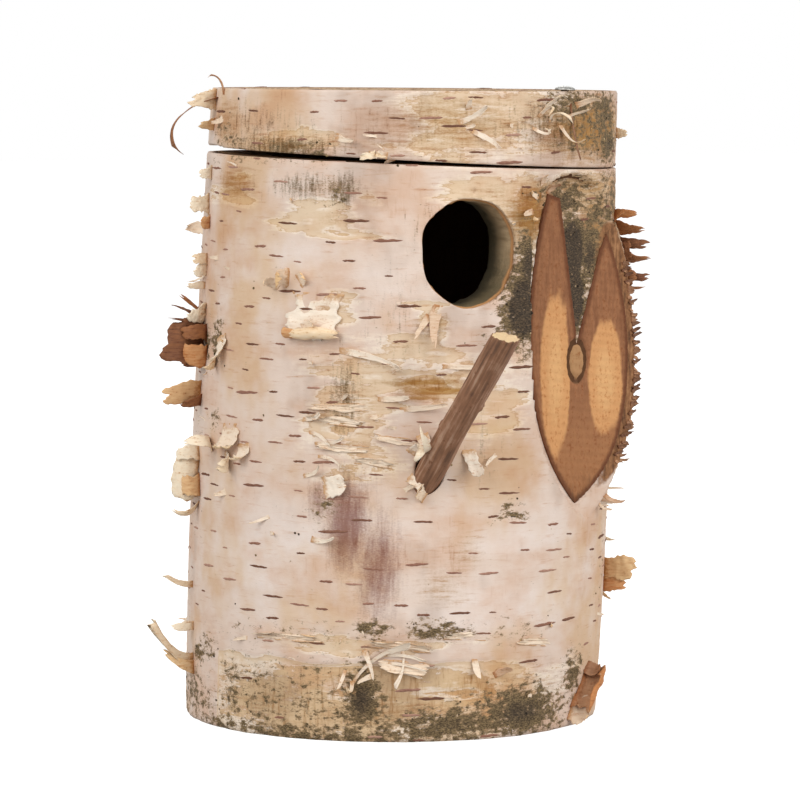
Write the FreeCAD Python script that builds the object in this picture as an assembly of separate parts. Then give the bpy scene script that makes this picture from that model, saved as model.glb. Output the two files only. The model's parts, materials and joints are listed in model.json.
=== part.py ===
import FreeCAD, Part
import math
import os

# Log nest box: a hollow birch log with a floor, a perch twig and a lid sliced from the same log.
# Millimetres, +Z up, origin on the axis of the log at its base, -Y the way the entrance faces.
# A bearing is an angle round the log, 0 at the front (-Y) and growing towards +X.

# Driving dimensions of the log
LOG_RADIUS = 80.0
BODY_HEIGHT = 216.0
LID_THICKNESS = 27.0
TAPER = 1.4
BELLY = 1.5
LOBE = 0.8
LOBE_BEARING = 40.0
LEAN_ANGLE = 2.2
LEAN_BEARING = 66.0
BARK = 3.5
WALL = 20.0

# Lid: the saw cuts above and below it, and the clearance where it rests by the pivot
LID_TOP_FALL = 0.45
LID_WEDGE = 0.75
LID_CLEARANCE = 0.3

# Pivot screw
PIVOT_BEARING = 37.0
SCREW_RADIUS = 2.25
SCREW_CLEARANCE = 0.2
SCREW_GRIP = 35.0
SCREW_HEAD_RADIUS = 3.9
SCREW_HEAD_HEIGHT = 1.8
SCREW_HEAD_EDGE = 0.7
SCREW_HEAD_CLEARANCE = 0.2

# Entrance, drilled twice so that it is a little taller than wide, and the hole to hang the box by
ENTRANCE_WIDTH = 36.0
ENTRANCE_RISE = 4.8
ENTRANCE_OFFSET = -1.0
ENTRANCE_BELOW_RIM = 33.0
HANGING_HOLE_RADIUS = 3.0

# Floor and its nails
FLOOR_THICKNESS = 18.0
FLOOR_CLEARANCE = 0.2
DRAIN_RADIUS = 3.0
DRAIN_CIRCLE = 28.0
DRAIN_COUNT = 4
NAIL_RADIUS = 1.2
NAIL_BITE = 16.0
NAIL_HEAD_RADIUS = 2.6
NAIL_HEAD_HEIGHT = 1.0
NAIL_SUNK = 0.3
NAIL_BEARINGS = (75.0, 165.0, 255.0)

# Perch twig
PERCH_RADIUS = 5.4
PERCH_TIP_RADIUS = 4.9
PERCH_LENGTH = 77.0
PERCH_DEPTH = 22.0
PERCH_BEARING = -14.0
PERCH_HEIGHT = 101.0
PERCH_HEADING = 12.0
PERCH_RISE = 48.0
PERCH_BOW = 1.5
PERCH_CUT = 25.0

# Side branch, sawn off in a flat plane
STUB_WIDTH = 52.0
STUB_HEIGHT = 118.0
STUB_BELOW_RIM = 12.0
STUB_BEARING = 20.0
STUB_INSET = 1.0
STUB_LEFT = -1.0
STUB_RIM = 4.0
STUB_DEPTH = 45.0
STUB_FLARE = 1.1

# Peeled bark: every sheet of it
PEEL_THICKNESS = 0.9
PEEL_SEAT = 0.35
PEEL_ROOT = 7.0
PEEL_FLARE = 1.3

# Peeled bark: the flap, the strip and the curl hang one below the other on the left side
FLAP_BELOW_RIM = 59.0
FLAP_WIDTH = 20.0
FLAP_RADIUS = 8.5
STRIP_GAP = 4.0
STRIP_WIDTH = 10.0
STRIP_RADIUS = 9.0
CURL_GAP = 16.0
CURL_WIDTH = 20.0
CURL_RADIUS = 5.0

# Peeled bark: the sheet beside the entrance, the ribbon and the roll near the foot, the ribbon of the lid
SHEET_BELOW_RIM = 42.0
SHEET_WIDTH = 28.0
SHEET_RADIUS = 3.6
RIBBON_ABOVE_FOOT = 23.5
RIBBON_WIDTH = 19.0
RIBBON_RADIUS = 8.0
ROLL_ABOVE_FOOT = 3.0
ROLL_WIDTH = 18.0
ROLL_RADIUS = 4.5
LID_RIBBON_RADIUS = 5.5
LID_RIBBON_SHARE = 0.62

# Sizes that follow
TOTAL_HEIGHT = BODY_HEIGHT + LID_THICKNESS
STUB_TIP_HEIGHT = BODY_HEIGHT - STUB_BELOW_RIM - STUB_HEIGHT
CAVITY_RADIUS = LOG_RADIUS - BARK - WALL
PIVOT_RADIUS = CAVITY_RADIUS + WALL / 2
ENTRANCE_HEIGHT = BODY_HEIGHT - ENTRANCE_BELOW_RIM
STUB_DISTANCE = LOG_RADIUS - STUB_INSET
REACH = 6 * LOG_RADIUS
MARGIN = BARK + WALL
SECTION_POINTS = 14
SECTION_COUNT = 7
UP = FreeCAD.Vector(0, 0, 1)

# Heights of the middles of the peeled sheets
FLAP_HEIGHT = BODY_HEIGHT - FLAP_BELOW_RIM - FLAP_WIDTH / 2
STRIP_HEIGHT = FLAP_HEIGHT - FLAP_WIDTH / 2 - STRIP_GAP - STRIP_WIDTH / 2
CURL_HEIGHT = STRIP_HEIGHT - STRIP_WIDTH / 2 - CURL_GAP - CURL_WIDTH / 2
SHEET_HEIGHT = BODY_HEIGHT - SHEET_BELOW_RIM - SHEET_WIDTH / 2
RIBBON_HEIGHT = RIBBON_ABOVE_FOOT + RIBBON_WIDTH / 2
ROLL_HEIGHT = ROLL_ABOVE_FOOT + ROLL_WIDTH / 2
LID_RIBBON_HEIGHT = BODY_HEIGHT + 0.6 * LID_THICKNESS
LID_RIBBON_WIDTH = LID_RIBBON_SHARE * LID_THICKNESS

# Each peeled sheet: bearing, height of its middle, width, radius and turn of its curl, side that it curls to
PEELS = {
    "peeled_flap_left": (-86, FLAP_HEIGHT, FLAP_WIDTH, FLAP_RADIUS, 120, -1),
    "peeled_strip_left": (-96, STRIP_HEIGHT, STRIP_WIDTH, STRIP_RADIUS, 105, -1),
    "peeled_curl_left": (-97, CURL_HEIGHT, CURL_WIDTH, CURL_RADIUS, 150, -1),
    "peeled_ribbon_low_left": (-97, RIBBON_HEIGHT, RIBBON_WIDTH, RIBBON_RADIUS, 115, -1),
    "peeled_sheet_front": (-40, SHEET_HEIGHT, SHEET_WIDTH, SHEET_RADIUS, 165, -1),
    "peeled_roll_low_right": (42, ROLL_HEIGHT, ROLL_WIDTH, ROLL_RADIUS, 200, 1),
    "peeled_ribbon_lid": (-97, LID_RIBBON_HEIGHT, LID_RIBBON_WIDTH, LID_RIBBON_RADIUS, 125, -1),
}


def outward(bearing):
    """Unit vector pointing away from the axis at a bearing."""
    turn = math.radians(bearing)
    return FreeCAD.Vector(math.sin(turn), -math.cos(turn), 0)


def sideways(bearing):
    """Unit vector along the surface at a bearing, towards growing bearings."""
    return outward(bearing + 90)


def tilted(angle):
    """Unit vector tipped from upright towards the side that the log leans to."""
    tip = math.radians(angle)
    return outward(LEAN_BEARING) * math.sin(tip) + UP * math.cos(tip)


AXIS = tilted(LEAN_ANGLE)


def axis_point(height):
    """Point of the leaning axis at a height above the base."""
    return AXIS * (height / AXIS.z)


def trunk_radius(bearing, height):
    """Radius over the bark: a slight taper, a slight belly and two low lobes."""
    turn = math.radians(bearing - LOBE_BEARING)
    middle = BODY_HEIGHT / 2
    belly = BELLY * (1 - ((height - middle) / middle) ** 2)
    lobes = LOBE * math.cos(2 * turn) + LOBE / 2 * math.cos(3 * turn)
    return LOG_RADIUS - TAPER * height / TOTAL_HEIGHT + belly + lobes


def surface_point(bearing, height):
    """Point on the bark."""
    return axis_point(height) + outward(bearing) * trunk_radius(bearing, height)


def trunk(inset):
    """Solid trunk, longer than needed at both ends, its surface drawn in by an inset."""
    low = -MARGIN
    step = (TOTAL_HEIGHT + 2 * MARGIN) / (SECTION_COUNT - 1)
    sections = []
    for level in range(SECTION_COUNT):
        height = low + step * level
        points = []
        for spoke in range(SECTION_POINTS):
            bearing = 360 * spoke / SECTION_POINTS
            points.append(surface_point(bearing, height) - outward(bearing) * inset)
        ring = Part.BSplineCurve()
        ring.interpolate(points, PeriodicFlag=True)
        sections.append(Part.Wire([ring.toShape()]))
    return Part.makeLoft(sections, True)


def half_space(point, normal, above):
    """Large block on one side of a plane."""
    low = 0 if above else -REACH
    block = Part.makeBox(2 * REACH, 2 * REACH, REACH, FreeCAD.Vector(-REACH, -REACH, low))
    block.Placement = FreeCAD.Placement(point, FreeCAD.Rotation(UP, normal))
    return block


def rim_point(bearing, radius):
    """Point of the body's sawn top, at a bearing and a distance from the axis."""
    across = AXIS.cross(outward(bearing).cross(UP)).normalize()
    return axis_point(BODY_HEIGHT) + across * radius


def lid_underside_point():
    """Point where the lid comes closest to the body, at the edge by the pivot."""
    return rim_point(LEAN_BEARING, LOG_RADIUS) + AXIS * LID_CLEARANCE


def body_cut(solid):
    """Saw a piece to the length of the body: flat base, top square to the axis."""
    sawn = solid.cut(half_space(axis_point(BODY_HEIGHT), AXIS, True))
    return sawn.cut(half_space(FreeCAD.Vector(), UP, False))


def lid_cut(solid):
    """Saw a piece to the thickness of the lid."""
    sawn = solid.cut(half_space(axis_point(TOTAL_HEIGHT), tilted(LID_TOP_FALL), True))
    return sawn.cut(half_space(lid_underside_point(), tilted(LEAN_ANGLE + LID_WEDGE), False))


def pivot_point():
    """Point of the pivot's axis at the top of the body."""
    return rim_point(PIVOT_BEARING, PIVOT_RADIUS)


def lid_top_at_pivot():
    """Height of the lid's top above the body's top, measured along the pivot's axis."""
    normal = tilted(LID_TOP_FALL)
    return (axis_point(TOTAL_HEIGHT) - pivot_point()).dot(normal) / AXIS.dot(normal)


def pivot_screw():
    """Pan-head screw, turned about its own axis, then stood on the body."""
    seat = lid_top_at_pivot() + SCREW_HEAD_CLEARANCE
    crown = seat + SCREW_HEAD_HEIGHT
    shoulder = crown - SCREW_HEAD_EDGE
    inner = SCREW_HEAD_RADIUS - SCREW_HEAD_EDGE
    bend = SCREW_HEAD_EDGE * math.sqrt(0.5)
    start = FreeCAD.Vector(0, 0, -SCREW_GRIP)
    tip = FreeCAD.Vector(SCREW_RADIUS, 0, 2 * SCREW_RADIUS - SCREW_GRIP)
    neck = FreeCAD.Vector(SCREW_RADIUS, 0, seat)
    under = FreeCAD.Vector(SCREW_HEAD_RADIUS, 0, seat)
    side = FreeCAD.Vector(SCREW_HEAD_RADIUS, 0, shoulder)
    middle = FreeCAD.Vector(inner + bend, 0, shoulder + bend)
    edge = FreeCAD.Vector(inner, 0, crown)
    top = FreeCAD.Vector(0, 0, crown)
    lower = Part.makePolygon([start, tip, neck, under, side]).Edges
    rounded = [Part.Arc(side, middle, edge).toShape()]
    upper = Part.makePolygon([edge, top, start]).Edges
    profile = Part.Face(Part.Wire(lower + rounded + upper))
    screw = profile.revolve(FreeCAD.Vector(), UP, 360)
    screw.Placement = FreeCAD.Placement(pivot_point(), FreeCAD.Rotation(UP, AXIS))
    return screw


def pivot_hole():
    """Clearance hole through the lid for the screw."""
    length = TOTAL_HEIGHT
    return Part.makeCylinder(SCREW_RADIUS + SCREW_CLEARANCE, length, pivot_point() - AXIS * length / 2, AXIS)


def entrance():
    """Entrance bore along the front: two drillings, one above the other."""
    radius = ENTRANCE_WIDTH / 2
    front = FreeCAD.Vector(ENTRANCE_OFFSET, 0, ENTRANCE_HEIGHT)
    rise = UP * (ENTRANCE_RISE / 2)
    side = FreeCAD.Vector(radius, 0, 0)
    crown = Part.Arc(front + rise - side, front + rise + UP * radius, front + rise + side)
    foot = Part.Arc(front - rise + side, front - rise - UP * radius, front - rise - side)
    right = Part.LineSegment(front + rise + side, front - rise + side)
    left = Part.LineSegment(front - rise - side, front + rise - side)
    edges = [curve.toShape() for curve in (crown, right, foot, left)]
    return Part.Face(Part.Wire(edges)).extrude(outward(0) * REACH)


def hanging_hole():
    """Hole through the back wall, in line with the entrance."""
    start = FreeCAD.Vector(ENTRANCE_OFFSET, 0, ENTRANCE_HEIGHT)
    return Part.makeCylinder(HANGING_HOLE_RADIUS, REACH, start, outward(180))


def cavity():
    """Nest bore, right through along the leaning axis."""
    return Part.makeCylinder(CAVITY_RADIUS, TOTAL_HEIGHT + MARGIN, axis_point(-MARGIN), AXIS)


def stub_point(across, up):
    """Point on the branch's cut, from fractions of its width and height."""
    middle = outward(STUB_BEARING) * STUB_DISTANCE
    shift = sideways(STUB_BEARING) * (STUB_LEFT + across * STUB_WIDTH)
    return middle + shift + UP * (STUB_TIP_HEIGHT + up * STUB_HEIGHT)


def side_curve(points):
    """Smooth edge through points of the branch's cut."""
    curve = Part.BSplineCurve()
    curve.interpolate(points)
    return curve.toShape()


def heart_wire():
    """Outline of the sawn wood: two arms that part above the pith and a tip below."""
    tip = stub_point(0.46, 0)
    left_top = stub_point(0.18, 1.0)
    right_top = stub_point(0.78, 0.865)
    left = side_curve([tip, stub_point(0.17, 0.18), stub_point(0, 0.63), left_top])
    right = side_curve([right_top, stub_point(1.0, 0.53), stub_point(0.85, 0.16), tip])
    notch = [left_top, stub_point(0.30, 0.985), stub_point(0.48, 0.515), stub_point(0.72, 0.82), right_top]
    return Part.Wire([left] + Part.makePolygon(notch).Edges + [right])


def collar_wire():
    """Outline of the bark round the sawn wood."""
    rim = STUB_RIM / STUB_WIDTH
    cap = STUB_RIM / STUB_HEIGHT
    points = [stub_point(0.46, -cap), stub_point(0.15 - rim, 0.16), stub_point(-rim, 0.63)]
    points += [stub_point(0.15, 1.0 + cap), stub_point(0.55, 1.0 + cap), stub_point(0.9, 0.85 + cap)]
    points += [stub_point(1.0 + rim, 0.53), stub_point(0.88 + rim, 0.14)]
    curve = Part.BSplineCurve()
    curve.interpolate(points, PeriodicFlag=True)
    return Part.Wire([curve.toShape()])


def into_trunk(wire, flare):
    """Branch from its cut back into the trunk, wider there by a factor."""
    root = wire.copy()
    root.scale(flare, stub_point(0.5, 0.5))
    root.translate(outward(STUB_BEARING) * -STUB_DEPTH)
    return Part.makeLoft([wire, root], True, True)


def beyond_cut(wire, below=0):
    """Everything in front of the branch's cut, or of a plane a little below it, inside an outline."""
    block = Part.Face(wire).extrude(outward(STUB_BEARING) * STUB_DEPTH)
    block.translate(outward(STUB_BEARING) * -below)
    return block


def perch_twig():
    """Twig from the bottom of its hole to its slanting end, a little bowed and tapered."""
    heading = outward(PERCH_HEADING)
    rise = math.radians(PERCH_RISE)
    along = heading * math.cos(rise) + UP * math.sin(rise)
    over = UP * math.cos(rise) - heading * math.sin(rise)
    foot = surface_point(PERCH_BEARING, PERCH_HEIGHT) - along * PERCH_DEPTH
    length = PERCH_DEPTH + PERCH_LENGTH
    sections = []
    for share in (0, 0.25, 0.5, 0.75, 1.0, 1.1):
        radius = PERCH_RADIUS + (PERCH_TIP_RADIUS - PERCH_RADIUS) * share
        bow = over * (PERCH_BOW * 4 * share * (1 - share))
        ring = Part.Circle(foot + along * (length * share) + bow, along, radius)
        sections.append(Part.Wire([ring.toShape()]))
    slant = math.radians(PERCH_CUT)
    end_normal = along * math.cos(slant) + over * math.sin(slant)
    end = half_space(foot + along * (length - PERCH_TIP_RADIUS), end_normal, True)
    return Part.makeLoft(sections, True).cut(end)


def floor_disc():
    """Floor in the bottom of the nest bore, sawn flush with the base, with drain holes."""
    foot = axis_point(-MARGIN)
    disc = Part.makeCylinder(CAVITY_RADIUS - FLOOR_CLEARANCE, MARGIN + FLOOR_THICKNESS, foot, AXIS)
    for index in range(DRAIN_COUNT):
        spot = foot + outward(360 * (index + 0.5) / DRAIN_COUNT) * DRAIN_CIRCLE
        disc = disc.cut(Part.makeCylinder(DRAIN_RADIUS, TOTAL_HEIGHT, spot, AXIS))
    return disc.cut(half_space(FreeCAD.Vector(), UP, False))


def floor_nail(bearing):
    """Nail through bark and wall into the edge of the floor, and the room that its head needs."""
    height = FLOOR_THICKNESS / 2
    inward = outward(bearing) * -1
    face = surface_point(bearing, height) + inward * NAIL_SUNK
    through = trunk_radius(bearing, height) - CAVITY_RADIUS
    head = Part.makeCylinder(NAIL_HEAD_RADIUS, NAIL_HEAD_HEIGHT, face, inward)
    shank = Part.makeCylinder(NAIL_RADIUS, through + NAIL_BITE, face, inward)
    room = Part.makeCylinder(NAIL_HEAD_RADIUS, BARK, face + outward(bearing) * (BARK - NAIL_HEAD_HEIGHT), inward)
    return head.fuse(shank), room


def peel_outline(root, bearing, radius, turn, side):
    """Edge of a peeled sheet at one level: a root that lies on the bark, then a curl away from it."""
    along = sideways(bearing) * side
    away = outward(bearing)

    def spot(distance, lift):
        return root + along * distance + away * lift

    def curl(curl_radius, angle):
        swing = math.radians(angle)
        return spot(PEEL_ROOT + curl_radius * math.sin(swing), radius - curl_radius * math.cos(swing))

    inner = radius - PEEL_THICKNESS
    under = Part.Arc(curl(radius, 0), curl(radius, turn / 2), curl(radius, turn)).toShape()
    over = Part.Arc(curl(inner, turn), curl(inner, turn / 2), curl(inner, 0)).toShape()
    tip = Part.makeLine(curl(radius, turn), curl(inner, turn))
    back = Part.makePolygon([curl(inner, 0), spot(0, PEEL_THICKNESS), spot(0, 0), curl(radius, 0)]).Edges
    return Part.Wire([under, tip, over] + back)


def peel(bearing, height, width, radius, turn, side):
    """Sheet of outer bark that has come away, rolled wider at its top than at its foot."""
    levels = (height - width / 2, height, height + width / 2)
    seat = max(trunk_radius(bearing, level) for level in levels) + PEEL_SEAT
    foot = axis_point(height - width / 2) + outward(bearing) * seat
    lower = peel_outline(foot, bearing, radius, turn, side)
    upper = peel_outline(foot + AXIS * width, bearing, radius * PEEL_FLARE, turn, side)
    return Part.makeLoft([lower, upper], True, True)


def main():
    """Make each piece and write it to its own file."""
    os.makedirs("parts", exist_ok=True)
    over_bark = trunk(0)
    under_bark = trunk(BARK)
    heart = into_trunk(heart_wire(), 1 / STUB_FLARE)
    collar = into_trunk(collar_wire(), STUB_FLARE)
    perch = perch_twig()
    screw = pivot_screw()
    nails = []
    nail_rooms = []
    for bearing in NAIL_BEARINGS:
        nail, room = floor_nail(bearing)
        nails.append(nail)
        nail_rooms.append(room)
    openings = [cavity(), entrance(), hanging_hole(), perch, screw] + nails

    wood = under_bark.cut(beyond_cut(collar_wire(), BARK)).fuse(heart)
    wall = body_cut(wood)
    bark = body_cut(over_bark.fuse(collar).cut(beyond_cut(collar_wire())).cut(wood))
    for opening in openings:
        wall = wall.cut(opening)
        bark = bark.cut(opening)
    for room in nail_rooms:
        bark = bark.cut(room)
    floor = floor_disc()
    for nail in nails:
        floor = floor.cut(nail)

    pieces = {
        "log_wall": wall,
        "log_bark": bark,
        "lid_slice": lid_cut(under_bark).cut(pivot_hole()),
        "lid_bark": lid_cut(over_bark).cut(under_bark),
        "floor_disc": floor,
        "floor_nails": Part.makeCompound(nails),
        "pivot_screw": screw,
        "perch_twig": perch,
    }
    for name, form in PEELS.items():
        pieces[name] = peel(*form)
    for name, piece in pieces.items():
        piece.exportStep("parts/" + name + ".step")
        print(name, len(piece.Solids), piece.isValid(), round(piece.Volume, 1))


main()
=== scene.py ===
# %% [markdown]
# # Log nest box
# A short length of birch trunk, bored hollow, with a slice of the same trunk for a lid. The solids give
# the log its size, its lean and its holes. This script dresses them: bark that peels in layers, sawn
# wood, moss and one steel screw.

# %% Load the frame
import json
import math

import bmesh
import bpy
import numpy as np
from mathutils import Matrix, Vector
from mathutils.bvhtree import BVHTree

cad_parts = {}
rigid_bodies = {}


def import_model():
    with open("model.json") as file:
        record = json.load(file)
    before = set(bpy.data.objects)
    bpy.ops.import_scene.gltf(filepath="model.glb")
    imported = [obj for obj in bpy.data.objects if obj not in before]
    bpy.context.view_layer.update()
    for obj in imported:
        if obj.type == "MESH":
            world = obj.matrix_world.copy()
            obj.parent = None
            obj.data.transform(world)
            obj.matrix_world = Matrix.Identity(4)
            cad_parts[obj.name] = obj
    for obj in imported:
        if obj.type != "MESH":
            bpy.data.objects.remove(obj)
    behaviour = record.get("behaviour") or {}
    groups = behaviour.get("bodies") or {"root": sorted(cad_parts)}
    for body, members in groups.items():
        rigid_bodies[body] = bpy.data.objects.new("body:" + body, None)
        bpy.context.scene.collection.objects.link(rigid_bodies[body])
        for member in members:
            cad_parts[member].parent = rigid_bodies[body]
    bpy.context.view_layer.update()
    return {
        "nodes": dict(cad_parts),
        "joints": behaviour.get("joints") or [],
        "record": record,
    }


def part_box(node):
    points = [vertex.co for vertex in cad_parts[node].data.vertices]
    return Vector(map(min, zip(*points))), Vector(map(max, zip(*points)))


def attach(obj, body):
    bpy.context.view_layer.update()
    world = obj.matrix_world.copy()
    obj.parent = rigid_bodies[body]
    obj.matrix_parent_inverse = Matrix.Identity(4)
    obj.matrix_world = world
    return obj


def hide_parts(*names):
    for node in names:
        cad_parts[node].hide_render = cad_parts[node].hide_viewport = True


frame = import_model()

print("nodes:", ", ".join(sorted(frame["nodes"])))

# %% [markdown]
# ## Where things are
# Every place on a log is a bearing round it and a height along it. The lid turns about a line along the
# log, so the hinge gives the log's lean, and a plane through the hinge square to it is the sawn top of
# the body. A bearing is 0 at the front, where the entrance faces, and grows to the right.

# %% Bearings and heights
# Lengths are in millimetres; MM turns them to Blender's metres. RADIUS is the trunk's.
MM = 0.001
RADIUS = 80.0
HINGE = frame["joints"][0]
PIVOT = Vector(HINGE["pos_m"]) / MM
AXIS = Vector(HINGE["axis"]).normalized()
RIM = AXIS.z * PIVOT.dot(AXIS)
LID_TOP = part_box("lid_slice")[1][2] / MM - 0.6
BODY, LID = HINGE["parent"], HINGE["child"]
HANGING = next(mount for mount in frame["record"]["mounts"] if mount["name"] == "hanging_hole")
ENTRANCE_X, ENTRANCE_Z = HANGING["pos_m"][0] / MM, HANGING["pos_m"][2] / MM
ENTRANCE_WIDTH, ENTRANCE_RISE = 36.0, 4.8


def outward(bearing):
    """Unit vector away from the axis at a bearing."""
    turn = math.radians(bearing)
    return Vector((math.sin(turn), -math.cos(turn), 0))


def axis_at(height):
    """Point of the leaning axis at a height, in millimetres."""
    return AXIS * (height / AXIS.z)


def on_log(bearings, heights, radii):
    """Points in millimetres from arrays of bearings, heights and radii."""
    turn = np.radians(bearings)
    away = np.stack([np.sin(turn), -np.cos(turn), 0 * turn], -1)
    lean = np.array(AXIS) / AXIS.z
    return np.asarray(heights)[..., None] * lean + np.asarray(radii)[..., None] * away


def log_places(points):
    """Bearings, heights and radii of points in millimetres."""
    lean = np.array(AXIS) / AXIS.z
    offset = points - points[:, 2:3] * lean
    bearings = np.degrees(np.arctan2(offset[:, 0], -offset[:, 1]))
    return bearings, points[:, 2], np.hypot(offset[:, 0], offset[:, 1])


print("rim at %.1f mm, lid top at %.1f mm" % (RIM, LID_TOP))

# %% [markdown]
# ## Small tools
# Blender's materials and Geometry Nodes are trees of nodes. One function adds a node, sets it and links
# it, so that a tree reads like a recipe. Colours are written as hex codes, as on a paint card, and turned
# to linear light.

# %% Nodes and colours
def linear(code):
    """Linear colour from an sRGB hex code."""
    parts = [int(code[i:i + 2], 16) / 255 for i in (1, 3, 5)]
    return [c / 12.92 if c < 0.04045 else ((c + 0.055) / 1.055) ** 2.4 for c in parts] + [1.0]


def add(tree, kind, inputs=None, output=0, **settings):
    """Add a node, fill its inputs with values, hex colours or other outputs, and give back one output."""
    node = tree.nodes.new(kind)
    for key, value in settings.items():
        setattr(node, key, value)
    for key, value in (inputs or {}).items():
        if isinstance(value, bpy.types.NodeSocket):
            tree.links.new(value, node.inputs[key])
        elif isinstance(value, str) and value.startswith("#"):
            node.inputs[key].default_value = linear(value)
        else:
            node.inputs[key].default_value = value
    return node.outputs[output] if len(node.outputs) else node


print("node tool ready")

# %% [markdown]
# A mesh can be drawn by hand or worked out. Bark and wood follow rules, so the pieces here are worked out
# as arrays of points in millimetres and made meshes at the end. Numbers stored on the points tell a
# material where to change.

# %% Meshes from arrays
def mesh_from(name, points, faces):
    """Mesh with smooth faces from points in millimetres."""
    mesh = bpy.data.meshes.new(name)
    mesh.from_pydata((np.asarray(points) * MM).tolist(), [], [list(map(int, face)) for face in faces])
    mesh.shade_smooth()
    return mesh


def set_numbers(mesh, **attributes):
    """Add number attributes to a mesh's points."""
    for key, values in attributes.items():
        layer = mesh.attributes.new(key, "FLOAT", "POINT")
        values = np.broadcast_to(np.asarray(values, dtype=np.float32), len(mesh.vertices))
        layer.data.foreach_set("value", np.ascontiguousarray(values))


def piece(name, mesh, material, body, *nodes):
    """Object that rides on a body and stands for some of its solids."""
    thing = bpy.data.objects.new(name, mesh)
    bpy.context.scene.collection.objects.link(thing)
    mesh.materials.clear()
    mesh.materials.append(material)
    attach(thing, body)
    if nodes:
        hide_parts(*nodes)


def solid(name):
    """Mesh of one of the frame's nodes."""
    return frame["nodes"][name].data


def points_of(mesh):
    """A mesh's points in millimetres."""
    flat = np.empty(len(mesh.vertices) * 3)
    mesh.vertices.foreach_get("co", flat)
    return flat.reshape(-1, 3) / MM


def grid_faces(rows, columns, closed=False, looped=False):
    """Quads of a grid of points; closed joins its last column to the first, looped its last row."""
    down = np.arange(rows if looped else rows - 1)
    across = np.arange(columns if closed else columns - 1)
    row, column = np.meshgrid(down, across, indexing="ij")
    start, below = row * columns, (row + 1) % rows * columns
    after = (column + 1) % columns
    return np.stack([start + column, start + after, below + after, below + column], -1).reshape(-1, 4)


print("mesh tools ready")

# %% [markdown]
# Nature looks random, but a part has to look the same on every run. This random field is worked out from
# whole numbers and a seed. It repeats round the log, so that the bark has no seam.

# %% Random fields
def smooth(low, high, values):
    """0 below low, 1 above high, with a soft step between."""
    share = np.clip((values - low) / (high - low), 0, 1)
    return share * share * (3 - 2 * share)


def field(u, v, seed, wrap=1 << 20):
    """Smooth random field from 0 to 1 with cells of size 1; u repeats after wrap cells."""
    u, v = np.asarray(u, dtype=float), np.asarray(v, dtype=float)
    iu, iv = np.floor(u).astype(np.int64), np.floor(v).astype(np.int64)
    fu, fv = u - iu, v - iv
    fu, fv = fu * fu * (3 - 2 * fu), fv * fv * (3 - 2 * fv)

    def corner(a, b):
        mixed = ((a % wrap) * 374761393 + b * 668265263 + seed * 144269504) & 0xFFFFFFFF
        mixed = ((mixed ^ (mixed >> 13)) * 1274126177) & 0xFFFFFFFF
        return ((mixed ^ (mixed >> 16)) & 0xFFFF) / 65535

    low = corner(iu, iv) * (1 - fu) + corner(iu + 1, iv) * fu
    high = corner(iu, iv + 1) * (1 - fu) + corner(iu + 1, iv + 1) * fu
    return low * (1 - fv) + high * fv


def rough(bearings, heights, wide, tall, seed, octaves=4):
    """Random field on the log, with features of a width and height in millimetres."""
    cells = max(3, round(2 * math.pi * RADIUS / wide))
    total, weight = 0, 1.0
    for octave in range(octaves):
        times = 2 ** octave
        u = np.asarray(bearings) / 360 * cells * times
        total = total + weight * field(u, np.asarray(heights) / tall * times, seed + octave, cells * times)
        weight /= 2
    return total / (2 - 2 * weight)


print("random fields ready")

# %% [markdown]
# ## Finishes
# A finish is a stack of coats: a base colour, then paints laid on where a number is high. The number is a
# noise, an attribute of the mesh, or both added together, so that the edge of a coat is frayed and not
# clean.

# %% Coats of paint
BUMP_STRENGTH, GRAIN_ROUGHNESS = 0.4, 0.6


def empty_material(name):
    """New material with an empty tree of nodes, and the tree."""
    material = bpy.data.materials.new(name)
    material.use_nodes = True
    material.node_tree.nodes.clear()
    return material, material.node_tree


def shader(name, roughness=0.8):
    """New material with a principled surface, its tree, and the surface's node."""
    material, tree = empty_material(name)
    surface = add(tree, "ShaderNodeBsdfPrincipled", {"Roughness": roughness, "Specular IOR Level": 0.25})
    add(tree, "ShaderNodeOutputMaterial", {"Surface": surface})
    return material, tree, surface.node


def grain(tree, size, stretch=(1, 1, 1), detail=4.0):
    """Noise in the piece's own coordinates, with features of a size in millimetres."""
    place = add(tree, "ShaderNodeTexCoord", output="Object")
    scaled = add(tree, "ShaderNodeMapping", {"Vector": place, "Scale": stretch})
    return add(tree, "ShaderNodeTexNoise", {
        "Vector": scaled, "Scale": 1 / (size * MM), "Detail": detail, "Roughness": GRAIN_ROUGHNESS})


def frayed(tree, value, *noises):
    """A number with noises added to it, each given with its share."""
    for noise, share in noises:
        centred = add(tree, "ShaderNodeMath", {0: noise, 1: 0.5}, operation="SUBTRACT")
        value = add(tree, "ShaderNodeMath", {0: centred, 1: share, 2: value}, operation="MULTIPLY_ADD")
    return value


def painted(tree, colour, value, low, high, paint, mode="MIX"):
    """A colour painted over where a number rises from low to high."""
    share = add(tree, "ShaderNodeMapRange", {0: value, 1: low, 2: high}, interpolation_type="SMOOTHSTEP")
    return add(tree, "ShaderNodeMix", {0: share, 6: colour, 7: paint}, 2, data_type="RGBA", blend_type=mode)


def fill_ramp(ramp, stops):
    """Give a colour ramp its places and hex colours."""
    bar = ramp.node.color_ramp
    while len(bar.elements) < len(stops):
        bar.elements.new(1.0)
    for element, (place, code) in zip(bar.elements, sorted(stops)):
        element.position = place
        element.color = linear(code)
    return ramp


def finish_surface(tree, surface, colour, relief, depth):
    """Give a surface its colour and a fine relief of a depth in millimetres."""
    bump = add(tree, "ShaderNodeBump", {"Height": relief, "Strength": BUMP_STRENGTH, "Distance": depth * MM})
    tree.links.new(colour, surface.inputs["Base Color"])
    tree.links.new(bump, surface.inputs["Normal"])


print("finish tools ready")
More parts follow.
